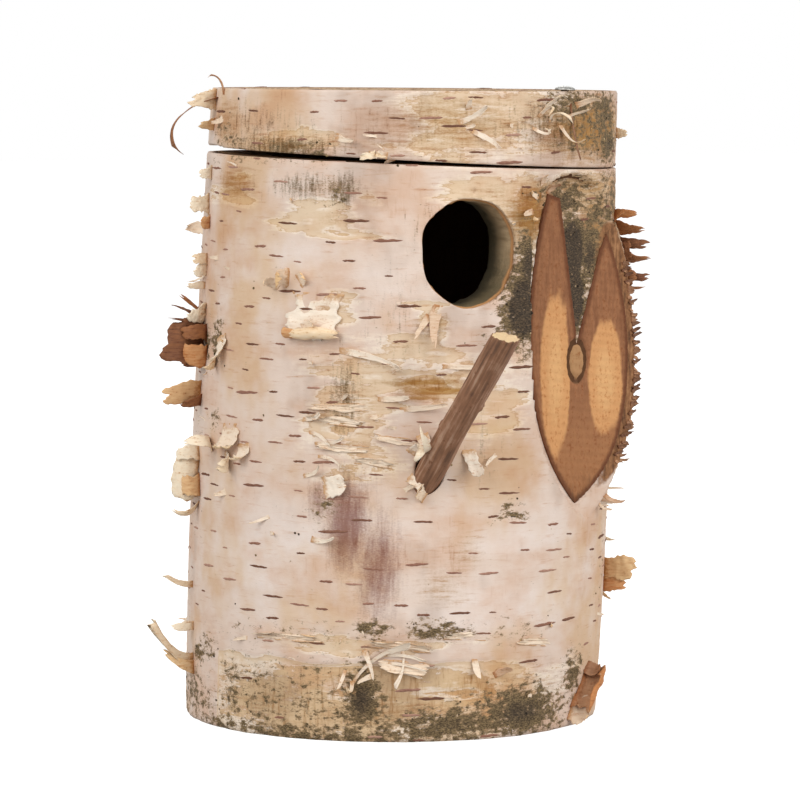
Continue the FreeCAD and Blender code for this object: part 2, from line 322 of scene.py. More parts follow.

# %% [markdown]
# ## Birch bark
# Birch bark is a stack of papery sheets. Where the outer ones have torn away the next one shows, a little
# darker and pinker, along a ragged edge. One field says how many sheets are left at each place. The mesh
# steps down where the field crosses a level, and the material changes colour at the same levels. Moss and
# stains are listed patches.

# %% Birch bark material
# Where each torn edge lies on the field of sheets, and the sheets' colours from the wood outward.
LEVELS = (0.30, 0.43, 0.55, 0.68)
LAYERS = ("#A87B50", "#C4A077", "#CFB38F", "#D7C0A4", "#D7C3B4")


def layer_stops():
    """Layer colours with a line of painted shade under and a painted highlight over each torn edge."""
    stops = [(0.0, LAYERS[0])]
    for level, below, above in zip(LEVELS, LAYERS, LAYERS[1:]):
        # Painted shade: a dark line at the foot of each torn edge. Painted highlight: a pale line on its top.
        stops += [(level - 0.02, below), (level - 0.004, "#C6A888")]
        stops += [(level + 0.006, "#E5D6C5"), (level + 0.05, above)]
    return stops + [(0.86, "#D9C6B8"), (1.0, "#E0D1C7")]


def birch_bark():
    """Peeling birch bark: chalky and matt, in thin sheets with level streaks, stains and dark moss."""
    material, tree, surface = shader("birch_bark_peeling")
    sheets, stain, grey, violet, moss, edge = [
        add(tree, "ShaderNodeAttribute", attribute_name=name, output="Fac")
        for name in ("sheets", "stain", "grey", "violet", "moss", "edge")]
    fine, speck = grain(tree, 2.0), grain(tree, 0.9, (1, 1, 2.5), 2.0)
    streak, broad = grain(tree, 9.0, (1, 1, 8)), grain(tree, 28.0, (1, 1, 1.6))
    fibre, fleck = grain(tree, 1.4, (1, 1, 0.15)), grain(tree, 4.0, (1, 1, 2))
    cloud = grain(tree, 45.0, (1, 1, 0.7))
    layered = frayed(tree, sheets, (fine, 0.08), (streak, 0.14))
    # The layer colours carry painted shade and painted highlights at each torn edge.
    colour = fill_ramp(add(tree, "ShaderNodeValToRGB", {"Fac": layered}), layer_stops())
    torn = add(tree, "ShaderNodeMapRange", {0: layered, 1: 0.66, 2: 0.50}, interpolation_type="SMOOTHSTEP")
    hairs = add(tree, "ShaderNodeMath", {0: torn, 1: fibre}, operation="MULTIPLY")
    for number, low, high, tint in (
            (hairs, 0.48, 0.74, "#D3BEA2"),  # fibres in torn places
            (broad, 0.40, 0.70, "#F3E3D6"),
            (cloud, 0.48, 0.66, "#F3E4CC"),  # warm and cool clouds
            (cloud, 0.46, 0.34, "#E9E6E4"),
            (frayed(tree, fibre, (broad, 0.8)), 0.62, 0.96, "#EEE0D6"),
            (streak, 0.54, 0.84, "#EBD6C4"),  # level streaks and flecks
            (frayed(tree, speck, (streak, 1.4)), 0.88, 1.08, "#C6A48B"),
            (frayed(tree, stain, (fibre, 0.25), (streak, 0.7), (speck, 0.35)), 0.25, 0.85, "#C4A672"),
            (frayed(tree, grey, (fibre, 1.3), (speck, 0.7)), 0.42, 1.0, "#8F8771"),
            (frayed(tree, violet, (fibre, 0.5), (speck, 0.4)), 0.30, 0.90, "#A88C8A")):
        colour = painted(tree, colour, number, low, high, tint, "MULTIPLY")
    colour = painted(tree, colour, frayed(tree, moss, (speck, 1.5), (fleck, 2.0)), 0.46, 0.84, "#8A7152")
    thin_crust = fill_ramp(add(tree, "ShaderNodeValToRGB", {"Fac": speck}), [
        (0.3, "#352A1E"), (0.5, "#615038"), (0.7, "#907955")])
    thick_crust = fill_ramp(add(tree, "ShaderNodeValToRGB", {"Fac": speck}), [
        (0.3, "#211A14"), (0.5, "#3F3428"), (0.7, "#66533E")])
    crust = painted(tree, thin_crust, moss, 0.85, 1.15, thick_crust)
    crusted = frayed(tree, moss, (fine, 1.3), (fleck, 2.0), (fibre, 0.4))
    colour = painted(tree, colour, crusted, 0.52, 0.86, crust)
    inner = fill_ramp(add(tree, "ShaderNodeValToRGB", {"Fac": frayed(tree, fibre, (fine, 0.6))}), [
        (0.25, "#4E3220"), (0.5, "#835A3A"), (0.75, "#A87B55")])
    colour = painted(tree, colour, frayed(tree, edge, (fine, 0.5), (fleck, 0.4)), 0.35, 0.75, inner)
    finish_surface(tree, surface, colour, frayed(tree, layered, (fine, 0.25), (speck, 0.2)), 0.6)
    return material


BARK = birch_bark()
print("material:", BARK.name)

# %% [markdown]
# No two places on a log look alike, and a random pattern alone looks too even. So patches are placed
# where this log has them, and the random fields only fray them. A patch is written as bearing,
# height, half width in degrees, half height in millimetres and strength. Thin places have lost sheets and
# thick ones kept more. Stains are tan, grey places are hatched, violet ones are bruised, and moss grows
# where the log stays wet.
# One patch on the moss list is painted shadow beside the roll at the lower right.

# %% Patches placed one by one
THIN = [
    (0, 205, 14, 6, 0.22), (-2, 229, 26, 13, 0.26), (2, 127, 12, 15, 0.24), (-14, 158, 6, 6, 0.3),
    (13, 197, 9, 13, 0.34), (40, 206, 16, 7, 0.28), (34, 230, 22, 9, 0.26), (-38, 122, 17, 24, 0.25),
    (-14, 133, 13, 5, 0.32), (-52, 198, 16, 5, 0.25), (-36, 192, 12, 4, 0.25), (-30, 205, 8, 5, 0.25),
    (-22, 146, 16, 6, 0.22), (-62, 14, 24, 12, 0.10), (-30, 18, 18, 13, 0.16), (4, 20, 30, 12, 0.18),
    (-80, 208, 8, 6, 0.28), (12, 232, 18, 7, 0.20), (-44, 163, 9, 7, 0.28), (-20, 36, 44, 4, 0.24),
    (-30, 222, 12, 4, 0.20), (-62, 223, 22, 6, 0.28), (150, 120, 30, 26, 0.28), (90, 60, 25, 20, 0.28),
    (210, 40, 30, 16, 0.26), (120, 200, 22, 8, 0.24)]
THICK = [
    (-58, 70, 24, 30, 0.10), (10, 60, 26, 26, 0.12), (-64, 180, 16, 22, 0.10), (200, 170, 40, 40, 0.10)]
STAIN = [
    (-17, 135, 12, 1.5, 0.9), (-12, 132, 12, 1.4, 1.0), (-18, 129.5, 9, 1.3, 0.8), (-9, 137.5, 8, 1.2, 0.6),
    (-38, 126, 13, 16, 0.42), (-60, 14, 30, 16, 0.40), (-20, 150, 12, 6, 0.35), (-79, 208, 11, 7, 0.68),
    (14, 18, 36, 14, 0.4), (-86, 230, 12, 12, 0.55), (140, 60, 40, 30, 0.4), (230, 180, 30, 30, 0.35),
    (-4, 70, 8, 12, 0.45), (-44, 162, 8, 6, 0.35), (-20, 10, 40, 8, 0.5), (-56, 222, 18, 4, 0.6),
    (-46, 207, 12, 5, 0.5), (-40, 196, 12, 4, 0.4), (-10, 58, 10, 12, 0.45), (4, 230, 12, 6, 0.5),
    (38, 228, 28, 14, 0.9), (54, 196, 12, 16, 0.8), (14, 197, 10, 13, 0.9), (36, 206, 28, 8, 0.6),
    (41, 186, 8, 22, 0.9), (-64, 223, 22, 5, 0.55), (-15, 157, 5, 5, 0.7), (-12, 230, 26, 16, 0.58),
    (0, 205, 15, 6, 0.42)]
GREY = [
    (-52, 207, 15, 6, 0.72), (-20, 230, 50, 18, 0.35), (-18, 186, 9, 22, 0.42), (-70, 230, 26, 12, 0.55),
    (-100, 150, 10, 60, 0.35), (170, 90, 40, 50, 0.4), (-38, 130, 5, 18, 0.75), (-40, 207, 4, 7, 0.85),
    (24, 230, 30, 14, 0.6), (-26, 160, 12, 30, 0.4), (0, 110, 8, 20, 0.4), (-62, 222, 22, 5, 0.85),
    (250, 150, 30, 40, 0.45), (110, 140, 24, 40, 0.4)]
VIOLET = [
    (-36, 82, 7, 20, 0.85), (-27, 66, 7, 24, 0.75), (-44, 90, 5, 10, 0.65), (-30, 98, 8, 10, 0.4),
    (190, 110, 10, 50, 0.6)]
MOSS_AND_SHADOW = [
    (10.8, 162, 6.5, 14, 1.5), (12.5, 178, 5, 13, 1.2), (6, 151, 6, 5, 0.85), (27, 237, 11, 7, 0.86),
    (44, 234, 11, 10, 0.92), (49, 222, 9, 8, 1.0), (30, 201, 9, 8, 1.0), (32, 182, 6, 15, 1.5),
    (34, 164, 4, 14, 1.5), (42, 196, 7, 9, 0.9), (54, 200, 8, 14, 0.8), (-93, 146, 4, 6, 0.95),
    (-85, 148, 4, 8, 0.85), (-43, 206, 3, 7, 0.62), (-68, 222, 3, 4, 0.55), (-52, 221, 5, 5, 0.55),
    (-86, 226, 3, 8, 0.6), (-80, 221, 6, 6, 0.6), (-62, 220, 12, 4, 0.62), (-50, 220, 6, 5, 0.6),
    (-72, 14, 5, 20, 0.62), (-60, 14, 18, 18, 0.52), (-44, 14, 14, 18, 0.5), (-42, 88, 5, 9, 0.5),
    (-30.5, 16, 6, 13, 1.1), (-6, 6, 26, 7, 0.95), (15, 9, 16, 10, 1.08), (-22, 7, 30, 7, 0.6),
    (-11, 42, 8, 4, 0.85), (-28, 43, 5, 4, 0.8), (-90, 26, 5, 4, 0.85), (-94, 12, 8, 10, 0.7),
    # Painted shadow: the patch at bearing 36 and height 20 darkens the bark beside the roll at the lower
    # right.
    (36, 20, 5, 9, 0.9), (10, 84, 6, 2, 0.7), (8, 88, 3, 3, 0.6), (-97, 100, 4, 30, 0.3),
    (-84, 118, 3, 4, 0.7), (100, 14, 40, 12, 0.55), (180, 12, 50, 14, 0.6), (250, 10, 30, 10, 0.6),
    (130, 190, 20, 18, 0.5), (215, 60, 14, 25, 0.45), (56, 60, 6, 30, 0.35), (-92, 224, 5, 12, 0.45),
    (31, 206, 9, 5, 0.8), (48, 208, 14, 6, 0.6), (18, 205, 8, 6, 0.6), (39, 180, 5, 14, 1.1),
    (14, 190, 5, 8, 0.6), (36, 225, 16, 7, 0.66), (-84, 30, 6, 6, 0.6), (-88, 8, 10, 8, 0.62),
    (-45, 2, 62, 4, 0.8), (10, 40, 14, 5, 0.4), (-50, 40, 26, 5, 0.35)]


def patches(bearings, heights, spots):
    """Soft patches, the strongest at each place."""
    total = np.zeros_like(bearings)
    for bearing, height, wide, tall, strength in spots:
        turn = (bearings - bearing + 180) % 360 - 180
        reach = (turn / wide) ** 2 + ((heights - height) / tall) ** 2
        total = np.maximum(total, strength * np.exp(-0.7 * reach))
    return total


print("patches:", len(THIN + THICK + STAIN + GREY + VIOLET + MOSS_AND_SHADOW))

# %% [markdown]
# Now the number of sheets that are left can be worked out anywhere on the log, and from it the height of
# the surface. It drops by a sheet's thickness at each level, so that torn edges catch the light as real
# ones do.

# %% Torn sheets
def sheets_left(bearings, heights):
    """How many sheets of bark are left, from 0 to 1."""
    broad = rough(bearings, heights, 70, 16, 3)
    torn = rough(bearings, heights, 30, 4.5, 11)
    shifted = bearings + 26 * (rough(bearings, heights, 34, 10, 5) - 0.5)
    raised = heights + 14 * (rough(bearings, heights, 34, 12, 8) - 0.5)
    change = patches(bearings, heights, THICK) - patches(shifted, raised, THIN) * (2.4 * torn - 0.2)
    # The outer sheet has torn away at the foot, with a sharp edge at its left.
    foot = smooth(-78.8, -78.0, bearings) * smooth(24, -6, bearings) * smooth(38, 33, heights + 12 * torn)
    return 0.84 + 0.24 * (broad - 0.5) + 0.18 * (torn - 0.5) + change - 0.24 * foot


def bark_relief(bearings, heights):
    """Height of the bark's surface over its mean, in millimetres."""
    left = sheets_left(bearings, heights)
    steps = sum(smooth(level - 0.012, level + 0.012, left) for level in LEVELS)
    waves = rough(bearings, heights, 45, 60, 21, 3) - 0.5
    crumbs = rough(bearings, heights, 3, 2, 31, 2) - 0.5
    mossy = patches(bearings, heights, MOSS_AND_SHADOW)
    # An upright crease runs down under the branch.
    crease = smooth(34.2, 35.0, bearings) * smooth(42, 36, bearings)
    crease = crease * smooth(46, 56, heights) * smooth(92, 84, heights)
    return 0.34 * (steps - 3.6) + 0.8 * crease + 0.9 * waves + (0.12 + 1.1 * mossy) * crumbs


print("sheets left at the front, %.2f" % sheets_left(np.array([0.0]), np.array([60.0]))[0])

# %% [markdown]
# ## Bark of the body
# The bark follows the trunk, so its base is measured from the solids by casting rays at the axis. Where a
# ray falls through a hole, the radius is filled in from its neighbours. Columns are closer together on
# the side that is usually seen.

# %% Measure the log
FRONT_STEP, BACK_STEP = 0.62, 1.2
SEEN_FROM, SEEN_TO = -130.0, 85.0


def tree_of(*meshes):
    """Search tree over some meshes' faces, in millimetres."""
    points, faces = [], []
    for mesh in meshes:
        start = len(points)
        points += [point.co / MM for point in mesh.vertices]
        faces += [[corner + start for corner in face.vertices] for face in mesh.polygons]
    return BVHTree.FromPolygons(points, faces)


def bark_columns():
    """Bearings of the bark's columns, closer together in front."""
    front = np.arange(SEEN_FROM, SEEN_TO, FRONT_STEP)
    back = np.arange(SEEN_TO, SEEN_FROM + 360, BACK_STEP)
    return np.concatenate([front, back])


def measured_radii(tree, bearings, heights):
    """Radius of the solids at each height and bearing, with holes filled in."""
    radii = np.full((len(heights), len(bearings)), np.nan)
    for j, bearing in enumerate(bearings):
        away = outward(bearing)
        for i, height in enumerate(heights):
            centre = axis_at(height)
            spot = tree.ray_cast(centre + away * 2 * RADIUS, -away, 1.1 * RADIUS)[0]
            if spot is not None:
                radii[i, j] = (spot - centre).dot(away)
    radii[radii < RADIUS - 8] = np.nan
    known = ~np.isnan(radii)
    radii[~known] = np.nanmean(radii)
    for sweep in range(60):
        near = np.roll(radii, 1, 1) + np.roll(radii, -1, 1)
        near += np.vstack([radii[1:2], radii[:-1]]) + np.vstack([radii[1:], radii[-2:-1]])
        radii[~known] = near[~known] / 4
    return radii


SOLID_LOG = tree_of(solid("log_bark"), solid("log_wall"))
print("bark columns:", len(bark_columns()))

# %% [markdown]
# The bark is a closed shell: the torn outer skin, then back along the inside, so that its thickness shows
# at the sawn edges. A shell grown from the skin by a modifier would be quicker, but its edges would not
# lie in the planes of the saw cuts.

# %% Bark of the body
BARK_THICKNESS = 3.3
BODY_ROWS = 196


def bark_shell(name, tree, low, high, rows, lowest_edge, highest_edge):
    """Closed shell of bark between two sawn edges, heights at each bearing, and its measured radii."""
    bearings = bark_columns()
    base = np.linspace(low, high, rows)
    radii = measured_radii(tree, bearings, base)
    share = np.linspace(0, 1, rows)[:, None]
    bottom, top = lowest_edge(bearings), highest_edge(bearings)
    heights = bottom[None, :] * (1 - share) + top[None, :] * share
    around = np.broadcast_to(bearings, heights.shape)
    worn = 0.7 * rough(bearings, 0 * bearings, 6, 5, 41)
    outer = radii + bark_relief(around, heights)
    outer[0] -= worn
    outer[-1] -= worn
    deep = radii.min(0)
    inner_heights = np.stack([top, top - BARK_THICKNESS, bottom + BARK_THICKNESS, bottom])
    inner_radii = np.stack([radii[-1], deep, deep, radii[0]]) - BARK_THICKNESS
    points = np.concatenate([on_log(around, heights, outer).reshape(-1, 3),
                             on_log(around[:4], inner_heights, inner_radii).reshape(-1, 3)])
    faces = grid_faces(rows + 4, len(bearings), True, True)
    return mesh_from(name, points, faces), (base, radii)


def flat_edge(level):
    """Sawn edge at one height."""
    return lambda bearings: np.full(len(bearings), level)


def plane_edge(point, normal, inset=0.0):
    """Sawn edge in a plane, as heights at each bearing."""
    def edge(bearings):
        heights = []
        for bearing in bearings:
            away = outward(bearing) * RADIUS
            heights.append((point - away).dot(normal) / (AXIS / AXIS.z).dot(normal) + inset)
        return np.array(heights)
    return edge


shell, log_measured = bark_shell(
    "log_bark", SOLID_LOG, 0.3, RIM - 4, BODY_ROWS, flat_edge(0.0), plane_edge(PIVOT, AXIS, -0.3))
print("bark shell:", len(shell.polygons), "faces")

# %% [markdown]
# The sawn side branch shows as a flat, heart-shaped cut. Its outline is read from the solid: the faces
# that lie in the plane of the cut, and the edges that only one of them has.

# %% Outline of the side branch
STUB_BEARING = 20.0
STUB_NORMAL = np.array(outward(STUB_BEARING))
STUB_SIDE = np.array(outward(STUB_BEARING + 90))


def stub_outline():
    """Points round the sawn branch, in order, in millimetres, and the distance of the cut from the axis."""
    mesh = solid("log_wall")
    flat = {}
    for face in mesh.polygons:
        if face.normal.dot(STUB_NORMAL) > 0.9999:
            flat.setdefault(round(face.center.dot(STUB_NORMAL) / MM, 1), []).append(face)
    reach = max(flat, key=lambda level: sum(face.area for face in flat[level]))
    edges = set()
    for face in flat[reach]:
        corners = [tuple(round(c / MM, 3) for c in mesh.vertices[i].co) for i in face.vertices]
        edges.update(zip(corners, corners[1:] + corners[:1]))
    follows = {a: b for a, b in edges if (b, a) not in edges}
    loop = [min(follows)]
    while follows[loop[-1]] != loop[0]:
        loop.append(follows[loop[-1]])
    return np.array(loop), reach


HEART, STUB_REACH = stub_outline()


def plane_places(points):
    """Fractions across and up the branch's cut, and the distance along its normal."""
    side, up = points @ STUB_SIDE, points[:, 2]
    low, high = HEART @ STUB_SIDE, HEART[:, 2]
    across = (side - low.min()) / (low.max() - low.min())
    return across, (up - high.min()) / (high.max() - high.min()), points @ STUB_NORMAL


def from_outline(points):
    """Distance of points from the branch's outline, seen square to its cut, in millimetres."""
    flat = np.column_stack([points @ STUB_SIDE, points[:, 2]])
    corners = np.column_stack([HEART @ STUB_SIDE, HEART[:, 2]])
    nearest = np.full(len(flat), 1e9)
    for start, end in zip(corners, np.roll(corners, -1, 0)):
        along = end - start
        share = np.clip((flat - start) @ along / max(along @ along, 1e-9), 0, 1)[:, None]
        nearest = np.minimum(nearest, np.linalg.norm(flat - start - share * along, axis=1))
    return nearest


print("branch outline:", len(HEART), "points, cut %.1f mm from the axis" % STUB_REACH)

# %% [markdown]
# The bark's material needs numbers at each point: how many sheets are left, the stains and moss, and
# where the inner bark shows. Inner bark is brown and fibrous. It shows on the walls of the holes and at
# the right of the sawn branch, where the bark was torn back.

# %% Numbers for the bark
def depth_below(points, measured):
    """How far points lie below the lowest measured surface near them, in millimetres."""
    base, radii = measured
    bearings, heights, reach = log_places(points)
    turned = (bearings - SEEN_FROM) % 360 + SEEN_FROM
    column = np.clip(np.searchsorted(bark_columns(), turned) - 1, 0, radii.shape[1] - 1)
    row = np.clip(np.round((heights - base[0]) / (base[1] - base[0])).astype(int), 0, len(base) - 1)
    lowest = np.minimum.reduce([np.roll(radii, turn, 1) for turn in (-2, -1, 0, 1, 2)])
    lowest = np.minimum(np.vstack([lowest[:1], lowest[:-1]]), np.vstack([lowest[1:], lowest[-1:]]))
    return lowest[row, column] - reach


def bark_numbers(points, measured):
    """Attributes for the bark material at points in millimetres."""
    bearings, heights = log_places(points)[:2]
    across, _, reach = plane_places(points)
    right = smooth(0.6, 0.95, across)
    near = (from_outline(points) - 2.5 * right) / 4.5
    rim = smooth(1.3, 0.3, near) * smooth(STUB_REACH - 11, STUB_REACH - 5, reach) * (0.35 + 0.9 * right)
    edge = np.maximum(smooth(1.9, 2.6, depth_below(points, measured)), rim)
    found = {"sheets": sheets_left(bearings, heights), "edge": edge}
    for name, spots in (("stain", STAIN), ("grey", GREY), ("violet", VIOLET), ("moss", MOSS_AND_SHADOW)):
        found[name] = patches(bearings, heights, spots)
    return found


print("numbers on the bark: sheets, edge, stain, grey, violet, moss")

# %% [markdown]
# Saws and drills leave clean edges. A boolean does the same to a mesh: it cuts one closed mesh with
# another. The cutters are prisms and tubes, closed at both ends, with their faces turned outward.

# %% Cutting tools
def evaluated(mesh, kind, setup):
    """Mesh as one modifier leaves it; setup fills in the modifier."""
    thing = bpy.data.objects.new("work", mesh)
    bpy.context.scene.collection.objects.link(thing)
    setup(thing.modifiers.new("work", kind))
    result = bpy.data.meshes.new_from_object(thing.evaluated_get(bpy.context.evaluated_depsgraph_get()))
    bpy.data.objects.remove(thing)
    result.shade_smooth()
    return result


def cut(mesh, cutter, operation="DIFFERENCE"):
    """Mesh cut by another mesh."""
    tool = bpy.data.objects.new("cutter", cutter)
    bpy.context.scene.collection.objects.link(tool)

    def setup(modifier):
        modifier.operation, modifier.solver, modifier.object = operation, "EXACT", tool

    result = evaluated(mesh, "BOOLEAN", setup)
    bpy.data.objects.remove(tool)
    return result


def outward_faces(mesh):
    """Turn a closed mesh's faces outward."""
    shaped = bmesh.new()
    shaped.from_mesh(mesh)
    bmesh.ops.recalc_face_normals(shaped, faces=shaped.faces)
    shaped.to_mesh(mesh)
    shaped.free()
    return mesh


def capped_tube(name, rings):
    """Closed tube through rings of points, with a flat face at each end."""
    rings = np.asarray(rings)
    rows, count = rings.shape[:2]
    ends = [list(range(count))[::-1], list(range((rows - 1) * count, rows * count))]
    return outward_faces(mesh_from(name, rings.reshape(-1, 3), grid_faces(rows, count, True).tolist() + ends))


def prism(outline, way, length):
    """Closed prism from an outline of points in millimetres, along a direction."""
    outline = np.asarray(outline, dtype=float)
    return capped_tube("prism", [outline, outline + np.array(way) * length])


print("cutting tools ready")

# %% [markdown]
# Four holes go through the bark: the entrance, the hanging hole behind it, the sawn branch and the
# perch's socket. Exact booleans cut them after the bark is shaped, so each hole keeps a clean rim however
# rough the bark is round it.

# %% Cut the bark's holes
def entrance_outline(grow=0.0):
    """Outline of the entrance in the plane of the log's axis, grown by an amount."""
    turn = np.radians(np.arange(0, 360, 4))
    wobble = 0.25 * np.sin(3 * turn) + 0.2 * np.sin(7 * turn + 1)
    radius = ENTRANCE_WIDTH / 2 + grow + wobble
    rise = np.sign(np.sin(turn)) * ENTRANCE_RISE / 2
    across, up = ENTRANCE_X + radius * np.cos(turn), ENTRANCE_Z + radius * np.sin(turn) + rise
    return np.stack([across, np.zeros_like(turn), up], -1)


def pushed_out(outline, amount):
    """Outline moved outward from its middle."""
    away = outline - outline.mean(0)
    return outline + amount * away / np.linalg.norm(away, axis=1)[:, None]


def perch_line():
    """Foot, tip and direction of the perch, from its solid."""
    points = points_of(solid("perch_twig"))
    middle = points.mean(0)
    way = np.linalg.svd(points - middle)[2][0]
    way = way if way[2] > 0 else -way
    along = (points - middle) @ way
    return middle + way * along.min(), middle + way * along.max(), way


PERCH_FOOT, PERCH_TIP, PERCH_WAY = perch_line()
PERCH_RADIUS = 5.3


def square_to(way):
    """Two unit vectors square to a direction, the first one level."""
    side = np.cross(way, (0.0, 0.0, 1.0))
    side /= np.linalg.norm(side)
    return side, np.cross(side, way)


def ring(centre, way, radius, count=32):
    """Points of a circle square to a direction."""
    side, over = square_to(way)
    turn = np.linspace(0, 2 * np.pi, count, endpoint=False)[:, None]
    return centre + radius * (np.cos(turn) * side + np.sin(turn) * over)


shell = cut(shell, prism(entrance_outline(), (0, -1, 0), 2 * RADIUS))
BACKWARD = np.array((0.0, 1.0, 0.0))
behind = np.array((ENTRANCE_X, 0.0, ENTRANCE_Z))
shell = cut(shell, prism(ring(behind, BACKWARD, HANGING["dims"]["r_mm"]), BACKWARD, 2 * RADIUS))
shell = cut(shell, prism(pushed_out(HEART, 0.2) - STUB_NORMAL * 12, STUB_NORMAL, 60))
shell = cut(shell, prism(ring(PERCH_FOOT, PERCH_WAY, PERCH_RADIUS + 0.2), PERCH_WAY, 60))
set_numbers(shell, **bark_numbers(points_of(shell), log_measured))
piece("birch_bark_log", shell, BARK, BODY, "log_bark")
print("bark with holes:", len(shell.polygons), "faces")

# %% [markdown]
# The lid's bark is made as the body's is, because both were one trunk. The saw went through twice at
# different slants, so the two edges are planes fitted to the highest and lowest points of the solid.

# %% Bark of the lid
LID_ROWS = 30


def lid_edges():
    """Lower and upper sawn edges of the lid's bark, measured on its solid, as planes over the ground."""
    points = points_of(solid("lid_bark"))
    bearings, heights = log_places(points)[:2]
    planes = []
    for pick in (np.argmin, np.argmax):
        found = []
        for bearing in range(-180, 180, 10):
            near = np.flatnonzero(np.abs((bearings - bearing + 180) % 360 - 180) < 6)
            found.append(points[near[pick(heights[near])]])
        found = np.array(found)
        basis = np.column_stack([np.ones(len(found)), found[:, :2]])
        planes.append(np.linalg.lstsq(basis, found[:, 2], rcond=None)[0])
    return planes


def edge_of(plane):
    """Heights of a plane at each bearing on the log's surface."""
    def edge(bearings):
        points = on_log(bearings, np.full(len(bearings), LID_TOP), np.full(len(bearings), RADIUS))
        return plane[0] + points[:, :2] @ plane[1:]
    return edge


LID_LOW, LID_HIGH = lid_edges()
LID_SOLIDS = tree_of(solid("lid_bark"), solid("lid_slice"))
lid_shell, lid_measured = bark_shell(
    "lid_bark", LID_SOLIDS, RIM + 5, LID_TOP - 2, LID_ROWS, edge_of(LID_LOW), edge_of(LID_HIGH))
set_numbers(lid_shell, **bark_numbers(points_of(lid_shell), lid_measured))
piece("birch_bark_lid", lid_shell, BARK, LID, "lid_bark")
print("lid bark:", len(lid_shell.polygons), "faces")

# %% [markdown]
# ## Sawn wood
# Sawn wood shows growth rings on cut ends and long grain along the trunk. The rings are circles round the
# leaning axis, bent a little by noise, 2.4 mm apart. Saw marks are fine parallel ridges. Weather turns
# open cuts brown and grey.

# %% Sawn wood materials
RING_SPACING = 2.4


def sawn_wood(name, pale, dark, weather, weathering):
    """Sawn birch: matt, with growth rings on the ends, long grain on bored faces and a weathered film."""
    material, tree, surface = shader(name, 0.85)
    place = add(tree, "ShaderNodeTexCoord", output="Object")
    parts = add(tree, "ShaderNodeSeparateXYZ", {0: place})
    height = parts.node.outputs["Z"]
    across = []
    for i in (0, 1):
        lean = add(tree, "ShaderNodeMath", {0: height, 1: -AXIS[i] / AXIS.z}, operation="MULTIPLY")
        across.append(add(tree, "ShaderNodeMath", {0: parts.node.outputs[i], 1: lean}, operation="ADD"))
    flat = add(tree, "ShaderNodeCombineXYZ", {0: across[0], 1: across[1]})
    reach = add(tree, "ShaderNodeVectorMath", {0: flat}, "Value", operation="LENGTH")
    bent, fine = grain(tree, 22.0), grain(tree, 1.1)
    fibre = grain(tree, 2.2, (1, 1, 0.06))
    reach = frayed(tree, reach, (bent, 9 * MM), (fine, 0.8 * MM))
    turns = add(tree, "ShaderNodeMath", {0: reach, 1: RING_SPACING * MM}, operation="DIVIDE")
    rings = add(tree, "ShaderNodeMath", {0: turns}, operation="FRACT")
    normal = add(tree, "ShaderNodeNewGeometry", output="Normal")
    upright = add(tree, "ShaderNodeSeparateXYZ", {0: normal}, 2)
    end = add(tree, "ShaderNodeMath", {0: upright}, operation="ABSOLUTE")
    pattern = add(tree, "ShaderNodeMix", {0: end, 2: fibre, 3: rings})
    colour = fill_ramp(add(tree, "ShaderNodeValToRGB", {"Fac": pattern}), [
        (0.0, pale), (0.45, pale), (0.9, dark), (1.0, pale)])
    greyed = frayed(tree, bent, (fine, 0.4))
    colour = painted(tree, colour, greyed, 0.70 - 2 * weathering, 1.0 - weathering, weather, "MULTIPLY")
    colour = painted(tree, colour, fine, 0.58, 0.75, "#C9B49A", "MULTIPLY")
    # Painted shade: upright faces, the walls of the bored cavity and of the lid's cracks, are darkened.
    colour = painted(tree, colour, end, 0.6, 0.2, "#6B5847", "MULTIPLY")
    finish_surface(tree, surface, colour, frayed(tree, pattern, (fine, 0.6)), 0.35)
    return material


def dress(name, material):
    """Give one of the frame's own nodes a material."""
    solid(name).materials.clear()
    solid(name).materials.append(material)


WALL_WOOD = sawn_wood("birch_sawn_bored", "#CDA67C", "#A97F57", "#B79C7C", 0.1)
LID_WOOD = sawn_wood("birch_sawn_weathered", "#C9AA86", "#9C7A58", "#A3968A", 0.2)
dress("log_wall", WALL_WOOD)
dress("floor_disc", WALL_WOOD)
print("materials:", WALL_WOOD.name, LID_WOOD.name)

# %% [markdown]
# ## The sawn branch
# A side branch was sawn off flush with the trunk. The cut goes through two arms of wood that part above
# the pith, so it looks like a heart. Fresh sapwood is pale tan, the rest has turned brown. The plate is a
# grid with saw ridges and fibres, trimmed to the outline read above, and its colours come from attributes
# in fractions of its width and height.

# %% Heart-shaped cut
HEART_STEP = 0.55
# How far the sawn face stands in front of the solid's cut, and how far the slab reaches behind it.
HEART_PROUD, HEART_BURIED = 0.55, 2.5
PITH_MIDDLE, PITH_HALF = (0.48, 0.46), (0.085, 0.065)


def two_sided(rows, columns):
    """Faces of a closed sheet: a grid of points for its upper side, then one for its lower side."""
    count = rows * columns
    flat = grid_faces(rows, columns)
    border = np.concatenate([
        np.arange(columns), np.arange(1, rows) * columns + columns - 1,
        (rows - 1) * columns + np.arange(columns - 2, -1, -1), np.arange(rows - 2, 0, -1) * columns])
    after = np.roll(border, -1)
    walls = np.stack([border, after, after + count, border + count], -1)
    return np.concatenate([flat[:, ::-1], flat + count, walls])


def oval(across, up, middle, half):
    """1 in the middle of an oval, 0 at its edge and less beyond, given in fractions of the cut."""
    return 1 - np.hypot((across - middle[0]) / half[0], (up - middle[1]) / half[1])


